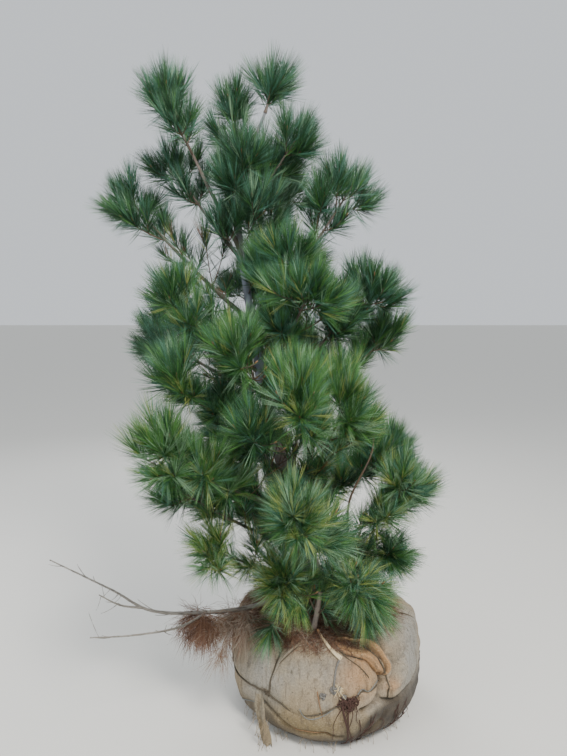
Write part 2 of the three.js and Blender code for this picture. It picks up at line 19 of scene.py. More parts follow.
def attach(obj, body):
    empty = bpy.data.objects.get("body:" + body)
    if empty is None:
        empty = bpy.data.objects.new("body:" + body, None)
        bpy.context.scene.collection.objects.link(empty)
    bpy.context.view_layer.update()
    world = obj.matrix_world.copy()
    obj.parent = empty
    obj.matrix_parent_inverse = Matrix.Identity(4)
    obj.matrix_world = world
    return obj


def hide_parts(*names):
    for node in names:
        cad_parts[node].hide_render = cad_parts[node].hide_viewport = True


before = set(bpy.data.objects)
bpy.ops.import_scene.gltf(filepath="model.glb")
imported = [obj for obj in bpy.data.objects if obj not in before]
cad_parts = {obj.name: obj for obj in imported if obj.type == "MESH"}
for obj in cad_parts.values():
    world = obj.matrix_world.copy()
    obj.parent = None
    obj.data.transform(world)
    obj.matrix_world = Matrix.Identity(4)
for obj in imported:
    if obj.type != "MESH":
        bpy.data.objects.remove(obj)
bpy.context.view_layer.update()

bl_info = {
    "name": "Balled Pine",
    "version": (1, 0, 0),
    "blender": (4, 5, 0),
    "location": "3D Viewport > Sidebar > Pine",
    "description": "Grows a young pine on its root ball from a seeded rule",
    "category": "Object",
}

MM = 0.001
UP = np.array([0.0, 0.0, 1.0])
FRONT = 270
# A way that climbs more than this counts as upright
UPRIGHT = 0.97
# A small step in a share of a curve, to find the curve's slope
SHARE_STEP = 1e-4
# Halvings of the trunk's line until it meets a height
HALVINGS = 30

# Sizes shared with the solids

# Root ball: radius and height of the burlap's outline, from the flat foot to the crest
BALL_OUTLINE = MM * np.array(
    [(292, 0), (360, 75), (382, 195), (356, 295), (318, 350), (170, 386), (0, 400)]
)
BELLY_RADIUS = 382 * MM
SHOULDER_RADIUS = 318 * MM
CREST_HEIGHT = 400 * MM

# Folds where the twine bites into the burlap: heading, depth in mm, half width in degrees
CREASES = ((302, 16, 9), (237, 12, 10), (190, 10, 12), (140, 12, 11), (85, 10, 12), (30, 12, 11))
# The burlap's mesh is finer at the front, where the folds are
FRONT_CROWDING = 0.5
# Waves of the burlap: size in mm, count round the ball, phase
WAVES = ((7, 2, 0.6), (5, 3, -0.9), (3, 7, 0))
WAVE_FADE = 0.6
# The right shoulder of the ball is squarer than the rest
SQUARE_HEADING = 345

# Room over the ball that growth stays out of
DOME_LIFT = 4 * MM
DOME_FALL, DOME_CURVE = 70 * MM, 3
BALL_RIM = 20 * MM

# Trunk: its leaning middle line, from the flat cut up
TRUNK_LINE = MM * np.array(
    [
        (-30, 0, 388),
        (-90, 0, 620),
        (-184, 0, 990),
        (-253, 0, 1300),
        (-305, 0, 1600),
        (-338, 0, 1860),
        (-331, 0, 2040),
        (-237, 0, 2275),
    ]
)
TRUNK_FOOT_RADIUS = 32 * MM
TRUNK_TIP_RADIUS = 5 * MM
FLARE = 24 * MM
FLARE_HEIGHT = 45 * MM

# Limbs: name, start height, heading, reach and climb in mm, bare share, tone of the needles
LIMBS = (
    ("left_high", 1770, 200, 295, 575, 0.45, "shade"),
    ("left_high_back", 1735, 145, 382, 430, 0.42, "shade"),
    ("left_long", 1500, 171, 523, 522, 0.5, "shade"),
    ("left_mid", 1300, 209, 390, 330, 0, "even"),
    ("left_back", 1220, 151, 600, 270, 0.4, "shade"),
    ("left_front", 1060, 229, 530, 280, 0.38, "even"),
    ("left_big", 760, 228, 675, 380, 0.4, "fresh"),
    ("left_low", 600, 208, 560, 350, 0.38, "even"),
    ("left_lowest", 490, 221, 520, 265, 0, "straw"),
    ("front_high", 1200, 258, 460, 230, 0, "fresh"),
    ("front_mid", 920, 258, 520, 260, 0.36, "even"),
    ("front_center", 820, 273, 530, 510, 0.4, "fresh"),
    ("front_low", 660, 266, 560, 270, 0.36, "silver"),
    ("front_lowest", 470, 251, 430, 200, 0, "straw"),
    ("right_front", 740, 292, 440, 550, 0.4, "fresh"),
    ("right_lowest", 500, 299, 400, 65, 0, "silver"),
    ("right_lowest_back", 520, 0, 385, 60, 0, "even"),
    ("right_low", 570, 335, 465, 355, 0.38, "silver"),
    ("right_low_back", 800, 14, 482, 170, 0, "even"),
    ("right_outer", 1080, 7, 490, 410, 0.45, "even"),
    ("right_star", 1280, 294, 435, 350, 0.36, "even"),
    ("right_mid", 1250, 350, 460, 400, 0.36, "shade"),
    ("right_long", 1480, 348, 393, 540, 0.45, "shade"),
    ("right_upper", 1520, 303, 350, 230, 0, "even"),
    ("right_high", 1885, 342, 252, 310, 0, "shade"),
    ("right_high_back", 1715, 51, 337, 376, 0, "shade"),
    ("front_top", 1850, 283, 180, 255, 0, "shade"),
    ("back_upper", 1470, 92, 400, 320, 0, "shade"),
    ("back_mid", 1150, 75, 500, 280, 0.36, "even"),
    ("back_left", 880, 128, 520, 260, 0, "even"),
    ("back_right", 700, 48, 500, 260, 0, "even"),
    ("back_low", 540, 105, 480, 220, 0, "even"),
    ("left_back_low", 640, 165, 500, 240, 0, "even"),
    ("second_leader", 1985, 105, 50, 365, 0, "shade"),
)
# Limbs with a start of their own: name, heading, reach and climb in mm, bare share, tone
LEADER = ("leader", 20, 12, 118, 0, "shade")
LEADER_FIRST_SHARE = 0.12
LOW_SHOOT = ("low_shoot", 300, 45, 170, 0, "silver")
LOW_SHOOT_FOOT = MM * np.array((-58, -214, 372))
LOW_SHOOT_RADIUS = 11 * MM
CLEARANCE = 0.3 * MM

# Dead wood: the bough from the trunk's foot and the twigs on it, each from a share of it
DEAD_BOUGH = MM * np.array(
    [
        (-38, 0, 442),
        (-255, -70, 400),
        (-441, -100, 384),
        (-680, -80, 378),
        (-855, -20, 434),
        (-1128, 50, 528),
    ]
)
DEAD_BOUGH_RADII = (11 * MM, 2.5 * MM)
DEAD_TWIGS = (
    (0.42, MM * np.array([(-562, -200, 376), (-700, -300, 404), (-820, -380, 442)])),
    (0.64, MM * np.array([(-800, -100, 412), (-870, -130, 468)])),
)
DEAD_TWIG_RADII = (5 * MM, 2 * MM)
# Tufts of dead needles: share along the bough, heading, reach and drop in mm, count
DEAD_TUFTS = ((0.43, 225, 80, 85, 1500), (0.27, 256, 165, 95, 3000))
TUFT_ARCH = 20 * MM
DEAD_SPRIGS = 9

# How limbs grow
LEAST_GIRTH = 3 * MM
GIRTH_PER_LENGTH = 0.0094
TIP_RADIUS = 2.2 * MM
SAG = 0.1
SPACING = 2 * MM

# How a mass branches from its stem
AFTER_BOUGH, FIRST_SHARE, LAST_SHARE = 0.06, 0.28, 0.9
STATION_EVERY = 112 * MM
REACH_SHARE, LEAST_REACH, MOST_REACH = 0.5, 100 * MM, 300 * MM
LEAST_VIGOUR, VIGOUR_SWING, NARROWING = 0.85, 0.3, 0.7
FORK, FORK_SWING, TURN, ROLL = 50, 9, 38, 24
LIFT, BEND = 0.16, 0.55
SHOOT_RADIUS = 3 * MM
FINER_RADIUS = 2.2 * MM
STEM_VIGOUR, SIDE_VIGOUR, WHORL_VIGOUR, FINER_VIGOUR, INNER_VIGOUR = 1.25, 1.05, 1.0, 0.8, 0.7
TRIES = (1, 0.8, 0.6, 0.45, 0.33)
PROBES = (0.5, 0.75, 1)
CORE_RADIUS = 6 * MM
NEEDLE_ROOM = 54 * MM
SHOOT_SEED, SHOOT_SEED_STEP = 1000, 77

# Finer shoots: a whorl of short ones behind each tip, and more along each shoot
FINER_SEED, FINER_SEED_STEP = 20000, 57
WHORL_BACK = 92 * MM
WHORL_REACH = (62 * MM, 105 * MM)
WHORL_FORK = (32, 52)
FINER_REACH = (45 * MM, 100 * MM)
FINER_FORK = (34, 62)
FINER_LIFT = 0.5
FINER_SPAN = (0.15, 0.95)
# The open top: fewer arms in a whorl, and finer shoots farther apart
OPEN_HEIGHT = 1.46
WHORL_ARMS = {"open": (3, 2), "full": (4, 2)}
FINER_EVERY = {"open": 95 * MM, "full": 58 * MM}
FINER_TRIES = (1, 0.7)
TUFT_APART = 30 * MM
FINER_MARGIN = 14 * MM
# Inner shoots grow on the bare part of a bough that starts below this height
INNER_HEIGHT = 1.51
INNER_EVERY = 42 * MM
INNER_REACH = (60 * MM, 170 * MM)
INNER_FORK = (45, 85)
INNER_FIRST = 0.25

# The pile of shed needles round the trunk's foot
PILE_HEIGHT, PILE_REACH = 80 * MM, 0.24

# Needles stand in bundles of five round the end of a shoot, in a fan
TUFT_LENGTH = 74 * MM
OLD_LENGTH = 110 * MM
OLD_SHARE = 0.1
LEAST_TUFT_START = 0.1
BUNDLE = 5
TIP_LEAN, ROOT_LEAN, LEAN_SWING = 11, 56, 8
TURN_UP = 0.3
BUNDLE_SPREAD = 0.068
LENGTH_SWING = 0.2
BENT_SHARE = 0.2
GOLDEN_TURN = 137.5
LEAST_COUNT, COUNT_SWING = 0.85, 0.3
LEAN_CURVE = 1.15
WEAK_LENGTH = 0.76
TONE_SWING = (0.3, 1.7)
SHEATH = 1.5 * MM
BUNDLE_SWING = 0.06
BOW, HANGING_BOW = 0.02, 0.06
DROOP, DROOP_SWING, HANGING_DROOP = 0.01, 0.035, 0.25
NEEDLE_CLEARANCE = 2 * MM
PIECE_TRIANGLES = 190000
# A small soft shoot that hangs over the ball's left shoulder: start, control and tip
HANGING_SHOOT = MM * np.array([(-150, -140, 405), (-205, -215, 422), (-222, -285, 394)])
# A shoot that died back: the limb and the share of it that it rises from, then its points
BARE_SHOOT = ("right_low", 0.37, MM * np.array([(82, -120, 839), (158, -120, 1007), (168, -120, 1121)]))
# Short spurs on the trunk where it runs through the top: heights, headings in turn, reach, climb
SPUR_HEIGHTS = (1.34, 2.06)
SPUR_EVERY = 62 * MM
SPUR_HEADINGS = (262, 20, 318, 75, 285, 345, 240, 300, 120)
SPUR_SWING = 10
SPUR_REACH = (85 * MM, 170 * MM)
SPUR_CLIMB, SPUR_DELAY = 1.05, 3
# Gaps that needles keep out of, so that the low shoot's foot and three bare lengths of the
# trunk show: rises over the shoot's foot, then heights on the trunk and how each gap climbs
GAP_RISES = (0.03, 0.07, 0.11, 0.15)
TRUNK_GAPS = (
    (0.97, 0.23),
    (1.01, 0.22),
    (1.29, 0.1),
    (1.32, 0.09),
    (1.35, 0.08),
    (1.59, -0.03),
    (1.62, -0.04),
    (1.65, -0.05),
)
LOW_GAP_WAY = np.array([0.0, -0.88, 0.47])
GAP_DEPTH, GAP_RADIUS = 0.5, 22 * MM


class Habit(NamedTuple):
    """How a limb grows unlike the rest: how much denser its finer shoots stand, arms more
    in each whorl, how far its needles hang, how long they are, and the lowest share of a
    stem that its whorl stands at."""

    density: float = 1.0
    arms: int = 0
    hang: float = 0.0
    long: float = 1.0
    node: float = 0.3


HABITS = {
    "leader": Habit(0.6, 1, 0, 1.14, 0.04),
    "second_leader": Habit(1.2, 1),
    "left_high": Habit(0.1, 1, 0, 0.98),
    "left_high_back": Habit(0.8),
    "right_high": Habit(1.2, 1, 0, 1.08),
    "front_top": Habit(1.5, 1),
    "right_upper": Habit(1.3, 1),
    "right_mid": Habit(1.4, 1),
    "left_big": Habit(1.3, 2, 0, 1.08),
    "left_low": Habit(1.2),
    "left_lowest": Habit(1.2, 0, 0.1),
    "front_center": Habit(1.3, 1),
    "front_low": Habit(1.2, 1, 0.12),
    "front_lowest": Habit(1.3, 1, 0.16),
    "right_front": Habit(1.4, 1),
    "right_outer": Habit(1.3),
    "right_low": Habit(1.6, 1, 0.12),
    "right_low_back": Habit(1.5, 1),
    "right_lowest": Habit(1.7, 1, 0.42),
    "right_lowest_back": Habit(1.7, 1, 0.36),
    "back_mid": Habit(1.2),
    "back_left": Habit(1.2),
    "back_right": Habit(1.3),
    "back_low": Habit(1.2),
    "low_shoot": Habit(1, 0, 0.25),
}

# Shares of each green in a tuft, by tone. Three tones paint light: shade is painted shade on the backlit top,
# sunlit is painted sunlight on the front limbs, and inner is painted shade inside the crown, mixed with old
# yellow and brown needles.
GREENS = ("deep", "green", "leaf", "blue", "pale", "gold", "dry")
TONES = {
    "shade": (0.38, 0.27, 0.05, 0.25, 0.05, 0.0, 0.0),
    "even": (0.2, 0.34, 0.2, 0.18, 0.05, 0.03, 0.0),
    "fresh": (0.09, 0.26, 0.37, 0.09, 0.13, 0.06, 0.0),
    "silver": (0.08, 0.24, 0.2, 0.18, 0.18, 0.12, 0.0),
    "straw": (0.07, 0.2, 0.3, 0.08, 0.12, 0.23, 0.0),
    "inner": (0.5, 0.26, 0.04, 0.08, 0.0, 0.06, 0.06),
}

# Twine over the burlap: runs of headings and shares, the collar and the girdle
TWINE_RUNS = (
    ((250, 0.9), (246, 0.8), (240, 0.68), (236, 0.52), (233, 0.3)),
    ((268, 0.9), (274, 0.76), (279, 0.62), (274, 0.46), (271, 0.3)),
    ((278, 0.9), (288, 0.76), (296, 0.62), (303, 0.46), (304, 0.3)),
    ((335, 0.9), (345, 0.72), (351, 0.55, -4), (349, 0.3, -7)),
    ((25, 0.9), (29, 0.72), (33, 0.5), (30, 0.3)),
    ((80, 0.9), (86, 0.72), (84, 0.5), (89, 0.3)),
    ((135, 0.9), (141, 0.72), (143, 0.5), (138, 0.3)),
    ((185, 0.9), (189, 0.72), (193, 0.5), (190, 0.3)),
)
STRAP_RUN = 1
COLLAR_SHARE = 0.9
# The girdle, with how far it lies above the burlap in mm: in places the folds cover it
GIRDLE = (
    (231, 0.32, 3), (236, 0.3, 3), (242, 0.29, 3), (246, 0.275, 0), (250, 0.265, -6), (255, 0.27, -2),
    (259, 0.28, 2), (266, 0.3, 2), (272, 0.33, 3), (280, 0.35, 3), (286, 0.39, 2), (290, 0.38, 2),
    (295, 0.39, 2), (299, 0.4, 1), (303, 0.38, -8), (312, 0.33, -8), (322, 0.3, -4), (330, 0.3, 2),
    (350, 0.3, 3), (10, 0.3, 3), (30, 0.3, 3), (60, 0.29, 3), (89, 0.3, 3), (115, 0.31, 3),
    (138, 0.3, 3), (165, 0.29, 3), (190, 0.3, 3), (212, 0.31, 3), (231, 0.32, 3),
)
TWINE_LIFT = 3
RUN_STEPS, COLLAR_STEPS, GIRDLE_STEPS = 60, 241, 360

# The flap's section, from the skin to the rolled edge: share across, rise in mm and painted shade
FLAP_SECTION = (
    (0, -7, 0.7), (0.03, 4, 0.3), (0.1, 8, 0), (0.22, 9, 0), (0.36, 8, 0),
    (0.5, 5, 0.2), (0.6, 1, 0.55), (0.7, -2, 0.85), (0.79, 0, 0.8), (0.85, 8, 0.3),
    (0.91, 17, 0), (0.98, 20, 0), (1.05, 15, 0), (1.06, 7, 0.4), (1.0, -1, 0.9),
)

# Folds pressed into the burlap: depth and half width in mm, then headings and shares.
# A fold with a negative depth is a ridge.
FOLDS = (
    (20, 8, ((287, 0.61), (292, 0.56), (296, 0.48), (301, 0.43), (300, 0.4))),
    (26, 12, ((300, 0.43), (299, 0.38), (297, 0.34), (293, 0.31), (286, 0.29))),
    (15, 7, ((308, 0.54), (310, 0.48), (309, 0.43), (307, 0.4))),
    (11, 8, ((327, 0.54), (318, 0.49), (311, 0.47))),
    (-9, 12, ((316, 0.58), (321, 0.55), (318, 0.52))),
    (-9, 11, ((314, 0.44), (319, 0.42), (314, 0.38))),
    (-10, 10, ((303, 0.37), (307, 0.35), (311, 0.35))),
    (17, 8, ((296, 0.32), (306, 0.28), (313, 0.29), (321, 0.29), (332, 0.3), (346, 0.31))),
    (12, 7, ((226, 0.27), (232, 0.25), (241, 0.2), (247, 0.17), (256, 0.18), (264, 0.18), (276, 0.15))),
    (9, 9, ((302, 0.24), (294, 0.18), (287, 0.11))),
    (-8, 12, ((250, 0.72), (246, 0.64), (239, 0.5), (235, 0.38))),
    (6, 6, ((262, 0.72), (258, 0.6), (255, 0.5))),
    (5, 5, ((284, 0.66), (283, 0.56), (279, 0.48))),
    (5, 4, ((288, 0.57), (287, 0.5), (284, 0.42))),
    (4, 4, ((292, 0.5), (291, 0.44), (288, 0.38))),
    (8, 7, ((214, 0.66), (217, 0.5), (215, 0.34))),
    (6, 6, ((222, 0.6), (226, 0.45), (222, 0.3))),
    (7, 7, ((338, 0.66), (342, 0.5), (338, 0.34))),
    (6, 9, ((206, 0.16), (216, 0.2), (229, 0.25))),
    (7, 12, ((160, 0.2), (172, 0.26), (186, 0.22))),
    (8, 12, ((60, 0.5), (66, 0.35), (70, 0.2))),
    (8, 12, ((110, 0.55), (113, 0.38), (108, 0.2))),
    (7, 10, ((5, 0.5), (8, 0.35), (4, 0.2))),
)


def hex_colour(code):
    """Linear red, green and blue of a display colour."""
    channels = [(code >> shift & 255) / 255 for shift in (16, 8, 0)]
    return tuple(c / 12.92 if c <= 0.04045 else ((c + 0.055) / 1.055) ** 2.4 for c in channels)


# Settings


def colour(name, code, description):
    """A colour that a user may change."""
    return FloatVectorProperty(
        name=name, description=description, default=hex_colour(code), subtype="COLOR", min=0, max=1
    )


def size(name, default, description):
    """A length that a user may change."""
    return FloatProperty(name=name, description=description, default=default, unit="LENGTH")


class NeedleSettings(bpy.types.PropertyGroup):
    length: size("Length", 120 * MM, "Longest needle")
    radius: size("Radius", 0.82 * MM, "Half a needle's width")
    bundles: IntProperty(name="Bundles", description="Bundles of needles on a full shoot", default=40)
    deep: colour("Deep", 0x24412A, "Needles in the shade of the top")
    green: colour("Green", 0x345D35, "Most needles")
    leaf: colour("Leaf", 0x528140, "Fresh needles")
    blue: colour("Blue", 0x4E7A65, "Needles with a blue bloom")
    pale: colour("Pale", 0x88AA88, "Needles that show their pale side")
    gold: colour("Gold", 0x97A35A, "Old needles that turn yellow")
    dry: colour("Dry", 0x7C5942, "Dead needles, rust brown")
    umber: colour("Umber", 0x573D30, "Dead needles, dark brown")
    ash: colour("Ash", 0x9A8A79, "Dead needles, bleached")


class BarkSettings(bpy.types.PropertyGroup):
    trunk: colour("Trunk", 0x858C9A, "Smooth blue-grey bark")
    trunk_brown: colour("Trunk brown", 0x6E6052, "Bark that weathers brown")
    bough: colour("Bough", 0x5A4E45, "Bough bark")
    bough_grey: colour("Bough grey", 0x756D66, "Weathered bough bark")
    low_stem: colour("Low stem", 0x94867A, "Pinkish grey bark of the low shoot")
    twig: colour("Twig", 0x695643, "This year's shoots")
    bud: colour("Bud", 0x8C6B4B, "Resting buds")
    dead: colour("Dead wood", 0x7B756C, "Bare grey wood")
    root: colour("Root", 0x4A2F27, "Roots that came through the burlap")


class BurlapSettings(bpy.types.PropertyGroup):
    tan: colour("Tan", 0xA39175, "Clean burlap")
    grey: colour("Grey", 0x9A9C98, "Weathered burlap")
    warm: colour("Warm", 0xC08B52, "Burlap in the folds by the flap")
    ochre: colour("Ochre", 0x96804A, "Burlap low on the ball")
    # Earth that has soaked through, and painted shade low on the ball, in the folds, in the flap and under
    # the right lobe
    soil: colour("Soil", 0x221B15, "Soil that has soaked through")
    cream: colour("Cream", 0xD8C7A4, "The flat strap")
    twine: colour("Twine", 0x5D5343, "Tarred twine")
    rope: colour("Rope", 0x7B776F, "Grey rope")
    wire: colour("Wire", 0x7E8280, "Wire and blue-green cord")
    weave: size("Weave", 2.6 * MM, "Pitch of the threads")


class StageSettings(bpy.types.PropertyGroup):
    floor: colour("Floor", 0xDAD8D2, "Plain pale floor")
    sky: colour("Sky", 0xE4E9EE, "Plain pale light all round")
    camera_place: FloatVectorProperty(
        name="Camera",
        description="Where the camera stands",
        default=(-0.168, -2.2, 1.5),
        subtype="TRANSLATION",
    )
    camera_tilt: FloatProperty(
        name="Tilt",
        description="How far the camera looks down",
        default=math.radians(5.6),
        subtype="ANGLE",
    )
    lens: FloatProperty(name="Lens", description="Focal length in mm", default=27.05)


# Places and curves


def degrees_off(heading, middle):
    """How far headings are off a middle one, from -180 to 180."""
    return (heading - middle + 180) % 360 - 180


def guide_for(way):
    """What to cross a way with to go level: up, or the front for an upright way."""
    return towards(FRONT) if abs(way[2]) > UPRIGHT else UP


def ripple(place, *rates):
    """Smooth noise at a place, by how fast it changes along each axis."""
    return noise.noise(Vector(place) * Vector(rates))


def towards(heading):
    turn = np.radians(heading)
    return np.stack([np.cos(turn), np.sin(turn), np.zeros_like(turn)], -1)


def unit(vectors):
    return vectors / np.linalg.norm(vectors, axis=-1, keepdims=True)


def lerp(first, second, share):
    return first + (second - first) * share


def spline(points, shares, run_on=True):
    """Points of a smooth curve through points, at even shares of its spans."""
    points = np.asarray(points, float)
    before = 2 * points[0] - points[1] if run_on else points[0]
    after = 2 * points[-1] - points[-2] if run_on else points[-1]
    padded = np.vstack([before, points, after])
    at = np.clip(np.asarray(shares, float), 0, 1) * (len(points) - 1)
    span = np.minimum(at.astype(int), len(points) - 2)
    step = (at - span)[..., None]
    a, b, c, d = (padded[span + i] for i in range(4))
    leave, arrive = (c - a) / 2, (d - b) / 2
    bend = 3 * (c - b) - 2 * leave - arrive
    return b + leave * step + bend * step**2 + (2 * (b - c) + leave + arrive) * step**3


def even_line(points, count):
    """Evenly shared points of a smooth curve."""
    return spline(points, np.linspace(0, 1, count))


def run_along(line):
    """How far along a line each of its points lies."""
    return np.concatenate([[0], np.cumsum(np.linalg.norm(np.diff(line, axis=0), axis=1))])


def smoothed(line, rounds):
    """A line with its inner points drawn towards their neighbours, in place."""
    for _ in range(rounds):
        line[1:-1] = (line[:-2] + 2 * line[1:-1] + line[2:]) / 4
    return line


class Bow:
    """A limb's middle line: a quadratic curve from its start, drawn by a control, to its tip."""

    def __init__(self, start, control, tip):
        self.start, self.control, self.tip = start, control, tip

    def at(self, share):
        share = np.asarray(share, float)[..., None]
        first = lerp(self.start, self.control, share)
        return lerp(first, lerp(self.control, self.tip, share), share)

    def ahead(self, share):
        share = np.asarray(share, float)[..., None]
        return unit(lerp(self.control - self.start, self.tip - self.control, share))

    def rest(self, share):
        return Bow(self.at(share), lerp(self.control, self.tip, share), self.tip)

    def length(self):
        return np.linalg.norm(np.diff(self.at(np.linspace(0, 1, 9)), axis=0), axis=1).sum()


class Lines:
    """Lines of points, all with as many points, that distances are measured to."""

    def __init__(self, lines):
        corners = np.array(lines)
        self.start = corners[:, :-1]
        self.span = corners[:, 1:] - corners[:, :-1]
        self.square = (self.span**2).sum(-1)

    def distances(self, points):
        off = points[:, None, None] - self.start
        share = np.clip((off * self.span).sum(-1) / self.square, 0, 1)
        return np.linalg.norm(off - share[..., None] * self.span, axis=-1).min(-1)


def seeded_numbers(seed):
    """Seeded numbers from 0 to 1, so that the tree grows alike each time."""
    state = seed
    while True:
        state = (state * 1664525 + 1013904223) % 2**32
        yield state / 2**32


# Root ball


def ball_point(heading, share, lift=0.0):
    """Points of the burlap, or lifted off it."""
    heading, share = np.broadcast_arrays(np.asarray(heading, float), np.asarray(share, float))
    corner = spline(BALL_OUTLINE, share, run_on=False)
    slope = unit(
        spline(BALL_OUTLINE, np.minimum(share + SHARE_STEP, 1), False)
        - spline(BALL_OUTLINE, np.maximum(share - SHARE_STEP, 0), False)
    )
    turn = np.radians(heading)
    fold = sum(wave * np.cos(count * turn + phase) for wave, count, phase in WAVES)
    for middle, depth, spread in CREASES:
        fold = fold - depth * np.exp(-((degrees_off(heading, middle) / spread) ** 2))
    fold = MM * fold * np.clip(np.sin(np.pi * share), 0, 1) ** WAVE_FADE
    out = corner[..., 0] + slope[..., 1] * lift + fold * corner[..., 0] / BELLY_RADIUS
    place = towards(heading) * out[..., None]
    place[..., 2] = corner[..., 1] - slope[..., 0] * lift
    return place


def unit_normals(heading, share):
    """Directions straight out of the burlap."""
    return unit(ball_point(heading, share, 4 * MM) - ball_point(heading, share))


@lru_cache(maxsize=1)
def twine_stations():
    """Each twine as headings, shares and lifts in mm of the points that it passes."""
    lines = [even_line([(*station, TWINE_LIFT)[:3] for station in run], RUN_STEPS) for run in TWINE_RUNS]
    collar = np.full((COLLAR_STEPS, 3), (0, COLLAR_SHARE, TWINE_LIFT), float)
    collar[:, 0] = np.linspace(0, 360, COLLAR_STEPS)
    girdle = np.array(GIRDLE, float)
    girdle[:, 0] = np.degrees(np.unwrap(np.radians(girdle[:, 0])))
    return [*lines, collar, even_line(girdle, GIRDLE_STEPS)]


# Growth


@lru_cache(maxsize=1)
def trunk_line():
    return even_line(TRUNK_LINE, 41)


def trunk_at(height):
    low, high = 0.0, 1.0
    for _ in range(HALVINGS):
        middle = (low + high) / 2
        if spline(TRUNK_LINE, middle)[2] < height:
            low = middle
        else:
            high = middle
    return spline(TRUNK_LINE, low)


def trunk_radius_at(height):
    foot, top = TRUNK_LINE[0][2], TRUNK_LINE[-1][2]
    rise = np.clip((height - foot) / (top - foot), 0, 1)
    flare = FLARE * np.exp(-np.maximum(height - foot, 0) / FLARE_HEIGHT)
    return lerp(TRUNK_FOOT_RADIUS, TRUNK_TIP_RADIUS, rise) + flare


def dead_lines(bough_steps=17, twig_steps=17):
    """Middle lines of the dead bough and its twigs."""
    twigs = (np.vstack([spline(DEAD_BOUGH, root), points]) for root, points in DEAD_TWIGS)
    return [even_line(DEAD_BOUGH, bough_steps), *(even_line(points, twig_steps) for points in twigs)]


class Limb:
    """A limb: its middle line, girth and bare share."""

    def __init__(self, name, index, start, shape, ahead=None, root_radius=None):
        heading, reach, climb, self.bare, self.tone = shape
        tip = start + towards(heading) * reach * MM + UP * climb * MM
        self.name, self.index = name, index
        self.habit = HABITS.get(name, Habit())
        self.length = np.linalg.norm(tip - start)
        if ahead is None:
            control = (start + tip) / 2 - UP * SAG * reach * MM
        else:
            control = start + ahead * self.length / 2
        self.path = Bow(start, control, tip)
        self.root_radius = root_radius or LEAST_GIRTH + GIRTH_PER_LENGTH * self.length
        self.first_share = LEADER_FIRST_SHARE if name == "leader" else FIRST_SHARE

    def radius_at(self, share):
        return lerp(self.root_radius, TIP_RADIUS, share)


